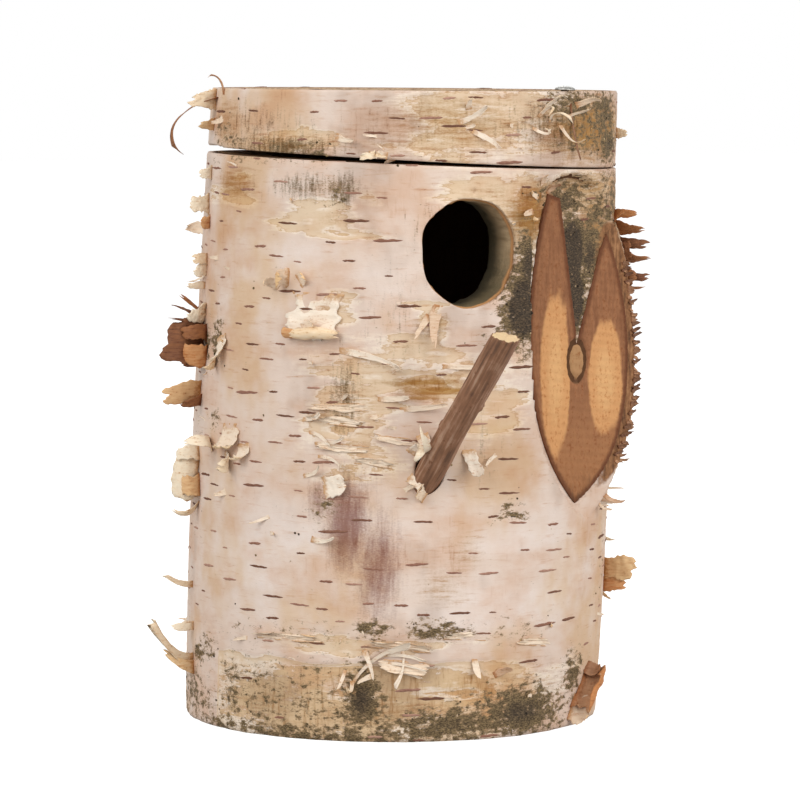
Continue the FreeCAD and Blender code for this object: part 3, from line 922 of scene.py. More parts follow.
def heart_plate():
    """Slab with a sawn face, trimmed to the branch's outline."""
    sides, ups = HEART @ STUB_SIDE, HEART[:, 2]
    across = np.arange(sides.min() - 1, sides.max() + 1, HEART_STEP)
    up = np.arange(ups.min() - 1, ups.max() + 1, HEART_STEP)
    grid_up, grid_across = np.meshgrid(up, across, indexing="ij")
    saw = 0.10 * np.sin(grid_up * 1.9 + 0.25 * grid_across + 2 * field(grid_across / 14, grid_up / 14, 5))
    fibres = 0.35 * (field(grid_across / 0.9, grid_up / 7, 9) - 0.5)
    fibres = fibres + 0.3 * (field(grid_across / 5, grid_up / 16, 12) - 0.5)
    middle = ((grid_across - sides.min()) / np.ptp(sides), (grid_up - ups.min()) / np.ptp(ups))
    pith = oval(*middle, PITH_MIDDLE, PITH_HALF)
    sunk = 0.8 * smooth(-0.35, -0.05, pith) - 0.9 * smooth(0.1, 0.35, pith)
    rough_tip = smooth(0.25, 0.0, middle[1]) * (field(grid_across / 0.8, grid_up / 2.5, 15) - 0.5)
    face = STUB_REACH + HEART_PROUD + saw + fibres + 0.9 * rough_tip - sunk
    ground = STUB_SIDE * grid_across[..., None] + np.array((0, 0, 1)) * grid_up[..., None]
    top = ground + STUB_NORMAL * face[..., None]
    under = ground + STUB_NORMAL * (STUB_REACH - HEART_BURIED)
    points = np.concatenate([top.reshape(-1, 3), under.reshape(-1, 3)])
    slab = outward_faces(mesh_from("heart", points, two_sided(*grid_up.shape)))
    return cut(slab, prism(HEART - STUB_NORMAL * 2, STUB_NORMAL, 8), "INTERSECT")


def heart_numbers(points):
    """Attributes of the sawn branch: fresh wood, pith, distance from the rim, and height."""
    across, up = plane_places(points)[:2]
    ragged = 0.12 * (field(points @ STUB_SIDE / 3, points[:, 2] / 9, 71) - 0.5)
    left = oval(across, up, (0.26, 0.42), (0.16, 0.29))
    right = oval(across, up, (0.77, 0.40), (0.19, 0.20))
    pith = oval(across, up, PITH_MIDDLE, PITH_HALF)
    return {"fresh": np.maximum(left, right) + ragged, "pith": pith, "rim": from_outline(points),
            "low": up + 0.2 * ragged}


plate = heart_plate()
set_numbers(plate, **heart_numbers(points_of(plate)))
print("sawn branch:", len(plate.polygons), "faces")

# %% [markdown]
# Sapwood stays pale, and the wood darkens towards the rim and the lower tip, where water soaks in. The
# coats follow that order, so that the rim and the pith lie over the sapwood.

# %% Sawn branch material
def sawn_branch():
    """Sawn branch: pale sapwood turning brown at the rim, with long dark fibres and a grey pith."""
    material, tree, surface = shader("birch_branch_sawn", 0.85)
    fresh, pith, rim, low = [
        add(tree, "ShaderNodeAttribute", attribute_name=name, output="Fac")
        for name in ("fresh", "pith", "rim", "low")]
    fine, fibre, broad = grain(tree, 1.2), grain(tree, 1.6, (1, 1, 0.16)), grain(tree, 14.0)
    colour = fill_ramp(add(tree, "ShaderNodeValToRGB", {"Fac": fibre}), [(0.3, "#7C5035"), (0.7, "#9E6D4A")])
    for number, start, full, paint in (
            (frayed(tree, low, (fibre, 0.4)), 0.38, 0.14, "#9D6C47"),
            (frayed(tree, fresh, (broad, 0.15), (fibre, 0.1)), 0.0, 0.16, "#CB9562"),  # fresh sapwood
            (frayed(tree, fresh, (broad, 0.4)), 0.35, 0.75, "#D4A36F"),
            (frayed(tree, rim, (fine, 2.0)), 2.6, 0.6, "#6A4028"),  # brown rim and tip
            (frayed(tree, low, (fibre, 0.3)), 0.10, -0.06, "#5B3E2A"),
            (pith, -0.22, -0.06, "#5E412B"),  # pith and the dark line round it
            (pith, 0.0, 0.25, "#A98058")):
        colour = painted(tree, colour, number, start, full, paint)
    colour = painted(tree, colour, frayed(tree, fine, (fibre, 0.6)), 0.50, 0.85, "#CFAC8A", "MULTIPLY")
    finish_surface(tree, surface, colour, frayed(tree, fibre, (fine, 0.5)), 0.6)
    return material


piece("sawn_branch_heart", plate, sawn_branch(), BODY)
print("material:", plate.materials[0].name)

# %% [markdown]
# ## The entrance
# The bore is rough inside: the drill tore the long grain, and weather and feet have greyed it. Deeper in,
# the wood is darkened as painted shade. A tube lines the bored wood, a hair inside it, with torn fibres
# modelled along the bore.

# %% Entrance lining
LINING_FRONT, LINING_BACK = RADIUS - 2.6, RADIUS - 23.0
LINING_ROWS, LINING_THICKNESS = 26, 1.6


def entrance_lining():
    """Tube from the bark's surface to the nest cavity."""
    turn = np.radians(np.arange(0, 360, 4))
    depths = np.linspace(0, 1, LINING_ROWS)
    middle = axis_at(ENTRANCE_Z)
    rows = []
    for share in depths:
        torn = field(np.degrees(turn) / 7, np.full_like(turn, share * 5), 51, 51)
        chatter = field(np.degrees(turn) / 20, np.full_like(turn, share * 30), 55, 18)
        outline = entrance_outline(-0.25)
        inward = outline.mean(0) - outline
        inward /= np.linalg.norm(inward, axis=1)[:, None]
        outline = outline + inward * (0.7 * torn + 0.25 * chatter)[:, None]
        off = (outline[:, 0] - middle.x) ** 2
        front = middle.y - np.sqrt(np.maximum(LINING_FRONT ** 2 - off, 1))
        back = middle.y - np.sqrt(LINING_BACK ** 2 - off)
        outline[:, 1] = front + share * (back - front)
        rows.append(outline)
    rows += [pushed_out(rows[-1], LINING_THICKNESS), pushed_out(rows[0], LINING_THICKNESS)]
    faces = grid_faces(len(rows), len(turn), True, True)
    mesh = outward_faces(mesh_from("entrance", np.concatenate(rows), faces))
    set_numbers(mesh, depth=np.repeat(np.append(depths, [1.0, 0.0]), len(turn)))
    return mesh


def bored_wood():
    """Bored birch, weathered: grey-beige at the mouth, green-black lower down and, as painted shade, deeper
    in, with torn grain.
    """
    material, tree, surface = shader("birch_bored_weathered", 0.9)
    depth = add(tree, "ShaderNodeAttribute", attribute_name="depth", output="Fac")
    place = add(tree, "ShaderNodeTexCoord", output="Object")
    height = add(tree, "ShaderNodeSeparateXYZ", {0: place}, 2)
    low = add(tree, "ShaderNodeMapRange", {0: height, 1: (ENTRANCE_Z + 16) * MM, 2: (ENTRANCE_Z - 18) * MM})
    fine, streak = grain(tree, 1.3), grain(tree, 5.0, (1, 0.25, 2.0))
    colour = fill_ramp(add(tree, "ShaderNodeValToRGB", {"Fac": streak}), [(0.3, "#8A7456"), (0.7, "#BFA582")])
    colour = painted(tree, colour, frayed(tree, low, (fine, 0.4), (streak, 0.5)), 0.35, 0.95, "#6B5E45")
    # Painted shade: the wood darkens deeper into the bore.
    colour = painted(tree, colour, frayed(tree, depth, (streak, 0.4)), 0.30, 0.85, "#4E4634")
    colour = painted(tree, colour, frayed(tree, depth, (fine, 0.15)), 0.10, 0.0, "#A87B50")
    finish_surface(tree, surface, colour, frayed(tree, streak, (fine, 0.8)), 0.4)
    return material


lining = entrance_lining()
piece("entrance_lining", lining, bored_wood(), BODY)
print("entrance lining:", len(lining.polygons), "faces")

# %% [markdown]
# ## The lid's wood
# The lid is a slice of the trunk, so both its faces are end grain. Drying opened a few cracks from the
# pith outward. A polar grid carries saw ridges, ring relief and the cracks, and a boolean drills the hole
# for the screw.

# %% Lid slice
SCREW_HOLE = 2.5
LID_TURN_STEP, LID_RINGS = 1.5, 70
# Drying cracks: bearing, where each starts and ends along the radius, and its half width.
CRACKS = (
    (35.0, 6.0, 62.0, 1.1), (150.0, 0.0, 44.0, 0.8), (-100.0, 10.0, 74.0, 1.3), (-42.0, 30.0, 58.0, 0.5))


def end_grain(bearings, reach, seed):
    """Relief of a sawn end in millimetres: saw ridges, growth rings and drying cracks."""
    across = reach * np.sin(np.radians(bearings))
    along = reach * np.cos(np.radians(bearings))
    warp = field(across / 18, along / 18, seed)
    relief = 0.14 * np.sin(along * 2.1 + 3 * warp)
    relief = relief + 0.12 * np.sin((reach + 9 * warp) * 2 * np.pi / RING_SPACING)
    relief += 0.25 * (field(across / 1.5, along / 1.5, seed + 1) - 0.5)
    for bearing, start, end, width in CRACKS:
        wander = bearing + 10 * (field(reach / 16, 0 * reach, seed + int(bearing)) - 0.5)
        off = np.abs((bearings - wander + 180) % 360 - 180) * np.pi / 180 * reach
        open_here = smooth(start - 4, start + 6, reach) * smooth(end + 4, end - 14, reach)
        relief -= 2.4 * open_here * smooth(width * 1.3, width * 0.3, off)
    return relief


def sawn_face(plane, sign, seed, bearings, shares):
    """Rows of points on one sawn face of the lid, from its middle outward."""
    inside_bark = RADIUS - BARK_THICKNESS - 0.9
    reach = np.broadcast_to(shares[:, None] * inside_bark, (len(shares), len(bearings)))
    around = np.broadcast_to(bearings, reach.shape)
    points = on_log(around, np.full(reach.shape, plane[0]), reach)
    lift = np.minimum(end_grain(around, reach, seed), 0.3) - 0.25
    points[..., 2] = plane[0] + points[..., :2] @ plane[1:] + sign * lift
    return points


def lid_wood():
    """Slice between the lid's sawn planes, inside its bark, with a hole for the screw."""
    bearings = np.arange(0, 360, LID_TURN_STEP)
    shares = np.sqrt(np.linspace(0.0004, 1, LID_RINGS))
    under = sawn_face(LID_LOW, -1, 81, bearings, shares)
    over = sawn_face(LID_HIGH, 1, 91, bearings, shares)
    mesh = capped_tube("lid_slice", np.concatenate([under, over[::-1]]))
    bore = np.array(PIVOT - AXIS * 10)
    return cut(mesh, prism(ring(bore, np.array(AXIS), SCREW_HOLE, 24), AXIS, 60))


slice_mesh = lid_wood()
piece("birch_lid_slice", slice_mesh, LID_WOOD, LID, "lid_slice")
print("lid slice:", len(slice_mesh.polygons), "faces")

# %% [markdown]
# ## Screw and nails
# One long screw holds the lid and is its pivot. Its round head has a cross recess. Zinc plating is dull
# and has gone grey outdoors. The screw is built of rings along its axis, as a lathe would turn it, and two
# crossed slots are cut in its head. The three nails are hidden and keep their solids.

# %% Pivot screw and nails
def zinc_steel():
    """Zinc-plated steel, weathered: a dull grey metal with soft, wide highlights."""
    material, tree, surface = shader("steel_zinc_weathered", 0.45)
    blotch, fine = grain(tree, 1.5), grain(tree, 0.3)
    colour = fill_ramp(add(tree, "ShaderNodeValToRGB", {"Fac": blotch}), [(0.3, "#7C7A76"), (0.7, "#B4B3AE")])
    surface.inputs["Metallic"].default_value = 1.0
    finish_surface(tree, surface, colour, fine, 0.05)
    return material


STEEL = zinc_steel()
SCREW_SIDES = 28
THREAD_PITCH, HEAD_EDGE = 1.6, 0.35
RECESS_DEPTH, RECESS_REACH, RECESS_HALF_WIDTH = 1.1, 2.1, 0.45


def screw_profile():
    """Heights of the screw's point and of its head's underside and top, and the radii of shank and head."""
    points = points_of(solid("pivot_screw")) - np.array(PIVOT)
    along = points @ np.array(AXIS)
    radii = np.linalg.norm(points - along[:, None] * np.array(AXIS), axis=1)
    head = along[radii > 3.5]
    under, top = head.min(), along.max()
    shank = np.median(radii[along < under - 1])
    return along.min(), under, top, shank, radii.max()


def pivot_screw():
    """Lathe-turned screw with thread ridges and a cross recess."""
    low, under, top, shank, head = screw_profile()
    profile = [(0.05, low), (shank * 0.9, low + 4)]
    for turn in range(int((under - low - 8) / THREAD_PITCH)):
        root = low + 4.4 + THREAD_PITCH * turn
        profile += [(shank * 0.86, root), (shank, root + THREAD_PITCH / 2)]
    profile += [(shank, under - 0.05), (head * 0.97, under), (head, under + HEAD_EDGE)]
    dome = top - under - HEAD_EDGE
    for step in range(1, 7):
        turn = step / 6 * math.pi / 2
        profile.append((max(head * math.cos(turn), 0.05), under + HEAD_EDGE + dome * math.sin(turn)))
    way = np.array(AXIS)
    mesh = capped_tube("screw", [
        ring(np.array(PIVOT + AXIS * height), way, radius, SCREW_SIDES) for radius, height in profile])
    side, over = square_to(way)
    start = np.array(PIVOT + AXIS * (top - RECESS_DEPTH))
    for long, short in ((side, over), (over, side)):
        along, wide = RECESS_REACH * long, RECESS_HALF_WIDTH * short
        corners = [start - along - wide, start + along - wide, start + along + wide, start - along + wide]
        mesh = cut(mesh, prism(corners, AXIS, 4))
    return mesh


screw_mesh = pivot_screw()
piece("pivot_screw_head", screw_mesh, STEEL, BODY, "pivot_screw")
dress("floor_nails", STEEL)
print("screw:", len(screw_mesh.polygons), "faces")

# %% [markdown]
# ## The perch
# The perch is a twig with its bark on, pushed into a drilled hole and cut off at a slant. It bows a
# little, has low ridges along it and old leaf scars. The mesh is a tube whose rows end on the slanting
# cut.

# %% Perch twig
PERCH_ROWS, PERCH_COLUMNS = 120, 48
# Leaf scars: place along the twig in millimetres and bearing round it in radians.
SCARS = ((44.0, 1.2), (61.0, 4.0), (73.0, 2.4))


def tip_plane():
    """Normal of the perch's slanting end, from its solid."""
    reach = (PERCH_TIP - PERCH_FOOT) @ PERCH_WAY
    total = np.zeros(3)
    for face in solid("perch_twig").polygons:
        along = (np.array(face.center) / MM - PERCH_FOOT) @ PERCH_WAY
        if along > 0.85 * reach and np.array(face.normal) @ PERCH_WAY > 0.6:
            total += np.array(face.normal) * face.area
    return total / np.linalg.norm(total)


def perch_twig():
    """Tube with ridges, scars and a torn, slanting end."""
    turn = np.linspace(0, 2 * np.pi, PERCH_COLUMNS, endpoint=False)
    side, over = square_to(PERCH_WAY)
    reach = (PERCH_TIP - PERCH_FOOT) @ PERCH_WAY
    normal = tip_plane()
    slope = -(np.outer(np.cos(turn), side) + np.outer(np.sin(turn), over)) @ normal / (PERCH_WAY @ normal)
    splinters = 0.8 * (field(turn * 6, 0 * turn, 61, 38) - 0.5)
    end = reach - PERCH_RADIUS * np.abs(slope).max() + PERCH_RADIUS * slope + splinters
    share = np.linspace(0, 1, PERCH_ROWS)[:, None]
    along = share * end[None, :]
    around = np.broadcast_to(turn, along.shape)
    ridges = field(around / (2 * np.pi) * 14 + along / 60, along / 18, 63, 14)
    lumps = field(around / (2 * np.pi) * 4, along / 14, 65, 4)
    pits = field(around / (2 * np.pi) * 26, along / 1.6, 67, 26)
    radius = PERCH_RADIUS - 0.004 * along + 0.55 * (ridges - 0.5) + 0.5 * (lumps - 0.5) + 0.12 * (pits - 0.5)
    for place, facing in SCARS:
        off = np.hypot((along - place) / 2.2, ((around - facing + np.pi) % (2 * np.pi) - np.pi) * 2.2)
        radius += 0.7 * smooth(1.0, 0.4, off) - 0.5 * smooth(0.45, 0.1, off)
    bow = 0.5 * np.sin(np.pi * np.clip(along / reach, 0, 1))[..., None] * side
    spots = PERCH_FOOT + along[..., None] * PERCH_WAY + bow
    spots = spots + radius[..., None] * (np.cos(around)[..., None] * side + np.sin(around)[..., None] * over)
    middle = spots[-1].mean(0)
    caps = []
    for inset in (0.93, 0.78, 0.55, 0.3, 0.08):
        torn = 0.9 * (field(np.cos(turn) * inset * 6, np.sin(turn) * inset * 6, 69) - 0.5)
        caps.append(middle + (spots[-1] - middle) * inset + torn[:, None] * PERCH_WAY)
    mesh = capped_tube("perch", np.concatenate([spots, caps]))
    wood = [0.0] * PERCH_ROWS + [0.55] + [1.0] * (len(caps) - 1)
    set_numbers(mesh, wood=np.repeat(wood, PERCH_COLUMNS))
    return mesh


perch_mesh = perch_twig()
print("perch:", len(perch_mesh.polygons), "faces")

# %% [markdown]
# Twig bark is smooth and brown, with fibres along the twig. The noise is pressed along the perch's own
# direction, because the twig stands at a slant and the usual axes would cross its grain.

# %% Twig bark material
def twig_bark():
    """Twig bark: brown and a little glossy, with paler fibres along it; torn wood at the cut."""
    material, tree, surface = shader("twig_bark_brown", 0.65)
    wood = add(tree, "ShaderNodeAttribute", attribute_name="wood", output="Fac")
    fine, blotch = grain(tree, 1.2), grain(tree, 9.0)
    place = add(tree, "ShaderNodeTexCoord", output="Object")
    along = add(tree, "ShaderNodeVectorMath", {0: place, 1: tuple(PERCH_WAY)}, operation="PROJECT")
    along = add(tree, "ShaderNodeVectorMath", {0: along, "Scale": 0.94}, operation="SCALE")
    pressed = add(tree, "ShaderNodeVectorMath", {0: place, 1: along}, operation="SUBTRACT")
    fibre = add(tree, "ShaderNodeTexNoise", {"Vector": pressed, "Scale": 1 / (1.3 * MM), "Detail": 4.0})
    tint = frayed(tree, fibre, (blotch, 0.5))
    colour = fill_ramp(add(tree, "ShaderNodeValToRGB", {"Fac": tint}), [
        (0.3, "#5C4130"), (0.5, "#825B42"), (0.7, "#A3826B")])
    colour = painted(tree, colour, frayed(tree, fine, (blotch, 0.5)), 0.60, 0.76, "#C4AA96", "MULTIPLY")
    colour = painted(tree, colour, frayed(tree, wood, (fine, 0.4)), 0.4, 0.7, "#DCC097")
    finish_surface(tree, surface, colour, frayed(tree, fibre, (fine, 0.5)), 0.5)
    return material


piece("twig_perch", perch_mesh, twig_bark(), BODY, "perch_twig")
print("material:", perch_mesh.materials[0].name)

# %% [markdown]
# ## Peeled curls
# Torn sheets of bark lift at one end and roll. A curl is a thin strip whose angle grows along its length,
# so one number for the bend at the root and one for the bend at the tip give flaps, rolls and ribbons.
# The strip has two sides, because the inside of birch bark is tan and the outside is nearly white.

# %% Curl shape
CURL_ROWS, CURL_COLUMNS = 26, 13
CURL_THICKNESS, FLAKE_THICKNESS = 0.3, 0.25


def curl_strip(length, width, lift, first_bend, last_bend, twist, taper, seed):
    """Points of a curl's middle, root at the origin, running along +X with +Z away from the bark."""
    # Along the strip: its angle grows with the bend.
    share = np.linspace(0, 1, CURL_ROWS)
    step = length / (CURL_ROWS - 1)
    uneven = 0.5 + field(share * 5, 0 * share, seed)
    bend = (first_bend + (last_bend - first_bend) * share) * uneven
    angle = np.radians(lift + np.concatenate([[0], np.cumsum(bend[:-1] * step)]))
    x = np.concatenate([[0], np.cumsum(np.cos(angle[:-1]) * step)])
    z = np.concatenate([[0], np.cumsum(np.sin(angle[:-1]) * step)])
    forward = np.stack([np.cos(angle), 0 * angle, np.sin(angle)], -1)
    up = np.stack([-np.sin(angle), 0 * angle, np.cos(angle)], -1)
    side = np.cross(up, forward)
    turn = np.radians(twist) * share[:, None]
    side, up = side * np.cos(turn) + up * np.sin(turn), up * np.cos(turn) - side * np.sin(turn)
    # Across the strip: it narrows, and both its edges are torn.
    spread = np.linspace(-0.5, 0.5, CURL_COLUMNS)
    narrow = (1 - taper * share ** 1.6) * np.sqrt(1 - 0.6 * np.clip((share - 0.85) / 0.15, 0, 1) ** 2)
    torn = [0.45 * (field(share * 3, 0 * share + edge, seed + 3 + edge) - 0.5) for edge in (0, 1)]
    torn = [edge + 0.26 * (field(share * 11, 0 * share, seed + 5) - 0.5) for edge in torn]
    low, high = -0.5 * narrow * (1 + torn[0]), 0.5 * narrow * (1 + torn[1])
    across = low[:, None] + (spread + 0.5)[None, :] * (high - low)[:, None]
    # The tip is ragged, and the sheet cups and ripples.
    teeth = 0.26 * (field(spread * 2.6 + 0.37 * seed, 0 * spread, seed + 7) - 0.6)
    teeth = teeth + 0.16 * (field(spread * 8 + 0.11 * seed, 0 * spread, seed + 9) - 0.5)
    ragged = length * teeth * share[:, None] ** 2
    cup = 0.1225 * width * field(seed * 0.37, 0.5, 2) * (np.abs(spread) * 2) ** 2 * share[:, None]
    middle = np.stack([x, 0 * x, z], -1)[:, None, :]
    sheet = middle + across[..., None] * width * side[:, None, :] + ragged[..., None] * forward[:, None, :]
    sheet = sheet + cup[..., None] * up[:, None, :]
    ripple = 0.06 * width * (field(share[:, None] * 9 + 0 * across, across * 6 + 3, seed + 11) - 0.5)
    sheet = sheet + ripple[..., None] * up[:, None, :]
    return sheet, np.broadcast_to(up[:, None, :], sheet.shape), share


def curl_arrays(seed, thickness, size):
    """Closed two-sided strip: points, faces and attributes."""
    sheet, up, share = curl_strip(*size, seed)
    thin = thickness * (1 - 0.6 * share)[:, None, None]
    points = np.concatenate([(sheet + up * thin / 2).reshape(-1, 3), (sheet - up * thin / 2).reshape(-1, 3)])
    along = np.tile(np.repeat(share, CURL_COLUMNS), 2)
    inner = np.repeat([0.0, 1.0], CURL_ROWS * CURL_COLUMNS)
    return points, two_sided(CURL_ROWS, CURL_COLUMNS), along, inner


print("points on a curl:", 2 * CURL_ROWS * CURL_COLUMNS)

# %% [markdown]
# Curls are listed where this log has them, as bearing, height, heading (0 right, 90 up, 180
# left), length, width, lift at the root, bend at the root and at the tip in degrees per millimetre,
# twist, taper, tone (0 cream, 0.5 orange, 1 red-brown) and, for a few, how far the tip sways to its left
# as a share of the length.

# %% Curls on the bark
def surface_spot(tree, bearing, height):
    """Point on the bark at a bearing and height, and the directions right, up and out there."""
    away = outward(bearing)
    centre = axis_at(height)
    spot = tree.ray_cast(centre + away * 2 * RADIUS, -away, 2 * RADIUS)[0]
    if spot is None:
        spot = tree.find_nearest(centre + away * RADIUS)[0]
    return np.array(spot), np.array(outward(bearing + 90)), np.array(AXIS), np.array(away)


def curls(name, tree, rows):
    """One mesh of curls from rows of given numbers."""
    points, faces, alongs, inners, tones = [], [], [], [], []
    for index, row in enumerate(rows):
        bearing, height, heading = row[:3]
        spot, right, up, out = surface_spot(tree, bearing, height)
        turn = math.radians(heading)
        forward = right * math.cos(turn) + up * math.sin(turn)
        forward = forward - (forward @ out) * out
        forward /= np.linalg.norm(forward)
        seed = int(37 * index + abs(bearing) * 3 + height)
        local, quads, along, inner = curl_arrays(seed, CURL_THICKNESS, row[3:10])
        sway = row[11] if len(row) > 11 else 0.0
        across = local[:, 1:2] + sway * row[3] * along[:, None] ** 2
        placed = spot - 0.15 * out + local[:, :1] * forward
        placed = placed + across * np.cross(out, forward) + local[:, 2:] * out
        placed = placed - ((placed - spot) @ right)[:, None] ** 2 / (2 * RADIUS) * out
        faces.append(quads + index * len(placed))
        points.append(placed)
        alongs.append(along)
        inners.append(inner)
        tones.append(np.full(len(along), row[10]))
    mesh = outward_faces(mesh_from(name, np.concatenate(points), np.concatenate(faces)))
    set_numbers(mesh, along=np.concatenate(alongs), inner=np.concatenate(inners), tone=np.concatenate(tones))
    return mesh


BARK_TREE, LID_TREE = tree_of(shell), tree_of(lid_shell)
print("bark faces to lay curls on:", len(shell.polygons) + len(lid_shell.polygons))

# %% [markdown]
# Peeled bark is thin and papery. The outside keeps the trunk's cream, the inside is tan, and what has
# hung longest in the weather is red-brown. One number on each curl picks its place between them.

# %% Peeled bark material
def peeled_bark():
    """Peeled birch bark: thin and papery, cream outside and tan inside, redder where it is old."""
    material, tree, surface = shader("birch_bark_curl", 0.7)
    along, inner, tone = [
        add(tree, "ShaderNodeAttribute", attribute_name=name, output="Fac")
        for name in ("along", "inner", "tone")]
    fine, streak = grain(tree, 0.9), grain(tree, 4.0, (1, 1, 5))
    mixed = frayed(tree, tone, (streak, 0.35))
    outer = fill_ramp(add(tree, "ShaderNodeValToRGB", {"Fac": mixed}), [
        (0.0, "#EBDDCB"), (0.3, "#DFC8AE"), (0.6, "#B98B67"), (1.0, "#7A5641")])
    inside = fill_ramp(add(tree, "ShaderNodeValToRGB", {"Fac": mixed}), [
        (0.0, "#ECDCC3"), (0.3, "#DFBB8C"), (0.6, "#BA7C4B"), (1.0, "#6F4732")])
    colour = painted(tree, outer, inner, 0.4, 0.6, inside)
    colour = painted(tree, colour, frayed(tree, streak, (fine, 0.6)), 0.55, 0.85, "#CBA079", "MULTIPLY")
    colour = painted(tree, colour, frayed(tree, along, (fine, 0.4)), 0.25, 0.0, "#D2B08C", "MULTIPLY")
    finish_surface(tree, surface, colour, frayed(tree, streak, (fine, 0.5)), 0.3)
    return material


PEEL = peeled_bark()
print("curl material:", PEEL.name)

# %% [markdown]
# Six groups of big curls stand where the log is most torn: four on the left edge, one in front and one at
# the lower right. Each replaces a solid that holds its place.

# %% Big curls on the body
FLAP_LEFT = [
    (-96, 147, 0, 19, 18, 50, 1.5, 6.0, 10, 0.05, 0.95), (-92, 142, -14, 14, 9, 40, 8, 24, 5, 0.05, 0.55),
    (-97, 155, 48, 15, 4, 58, -1, 3, 30, 0.5, 0.95), (-93, 150, 8, 13, 7, 40, 4, 16, -15, 0.4, 0.85),
    (-96, 157, 70, 12, 3, 56, -2, 2, -40, 0.6, 0.8), (-97, 153, 20, 16, 3, 62, -1, 2, 50, 0.6, 1.0),
    (-97, 139, -35, 9, 3, 55, 2, 8, 30, 0.5, 0.95)]
STRIP_LEFT = [
    (-96, 128, -14, 20, 8, 62, -1.0, 3.0, 20, 0.3, 0.36),
    (-95, 124, -20, 10, 5, 52, 1, 10, -25, 0.4, 0.85)]
CURL_LEFT = [
    (-95, 94, 0, 17, 15, 42, 6, 14, 8, 0.1, 0.05), (-93, 91, 10, 12, 8, 38, 10, 22, 0, 0.1, 0.38),
    (-94, 84, -55, 12, 4, 36, 4, 12, 30, 0.4, 0.12), (-95, 103, 20, 12, 7, 40, 6, 18, 12, 0.3, 0.0)]
RIBBON_LOW = [
    (-95, 23, 0, 20, 5, 68, -0.5, 3.0, 40, -0.3, 0.1, 0.8),
    (-94, 20, 8, 13, 5, 58, 1, 8, 15, 0.2, 0.28, 0.5), (-95, 36, 0, 9, 4, 60, 3, 14, 25, 0.4, 0.0)]
SHEET_FRONT = [
    (-48, 168, -90, 17, 19, 3, 0, 1, 0, 0.0, 0.02), (-47, 154, -88, 16, 18, 14, 12, 40, 0, 0.0, 0.16),
    (-54, 154, -88, 14, 4, 14, 14, 44, 0, 0.0, 0.5), (-56, 173, 176, 10, 7, 16, 8, 28, 5, 0.1, 0.34),
    (-59, 170, 150, 9, 4, 30, 6, 20, 20, 0.3, 0.2), (-53, 172, 30, 8, 5, 20, 4, 18, 10, 0.3, 0.25)]
ROLL_LOW_RIGHT = [
    (40, 15, -45, 14, 20, 22, 10, 26, 0, 0.05, 0.62), (36, 8, -30, 11, 12, 18, 8, 26, -6, 0.1, 0.35),
    (44, 22, -60, 8, 7, 30, 8, 26, 10, 0.2, 0.8)]
for name, rows in (
        ("flap_left", FLAP_LEFT), ("strip_left", STRIP_LEFT), ("curl_left", CURL_LEFT),
        ("ribbon_low_left", RIBBON_LOW), ("sheet_front", SHEET_FRONT), ("roll_low_right", ROLL_LOW_RIGHT)):
    mesh = curls("peel_" + name, BARK_TREE, rows)
    piece("peel_" + name, mesh, PEEL, BODY, "peeled_" + name)
    print("peel", name, len(mesh.polygons), "faces")

# %% [markdown]
# Smaller curls are grouped by where they sit. They have no solid of their own, so they only ride on the body
# or the lid. First come those on the left edge, in the torn middle and round the perch.

# %% Small curls at the left and in the middle
LEFT_EDGE = [
    (-97, 199, 5, 9, 8, 45, 4, 12, 10, 0.2, 0.02), (-95, 192, 0, 5, 5, 42, 6, 18, 0, 0.3, 0.5),
    (-96, 178, 10, 7, 5, 45, 5, 14, 10, 0.3, 0.12), (-96, 174, -10, 6, 5, 42, 5, 16, 10, 0.3, 0.02),
    (-97, 168, 0, 9, 3, 55, 1, 8, 15, 0.4, 0.0), (-95, 158, -20, 9, 7, 40, 4, 12, 15, 0.3, 0.0),
    (-97, 52, 0, 13, 2.5, 66, -1, 7, 30, 0.5, 0.1, 0.3), (-96, 211, 0, 6, 5, 42, 5, 16, 10, 0.3, 0.0)]
TORN_LEFT = [
    (-76, 117, -86, 13, 11, 6, 0, 24, 6, 0.1, 0.2), (-86, 107, 24, 17, 6, 22, 2, 9, 25, 0.4, 0.0),
    (-78, 103, -8, 15, 7, 12, 1, 13, 8, 0.4, 0.1), (-70, 110, -80, 10, 7, 8, 0, 26, 4, 0.2, 0.15),
    (-82, 150, -70, 12, 8, 14, 1, 14, 10, 0.4, 0.1), (-86, 140, -20, 10, 5, 20, 3, 14, 10, 0.5, 0.2)]
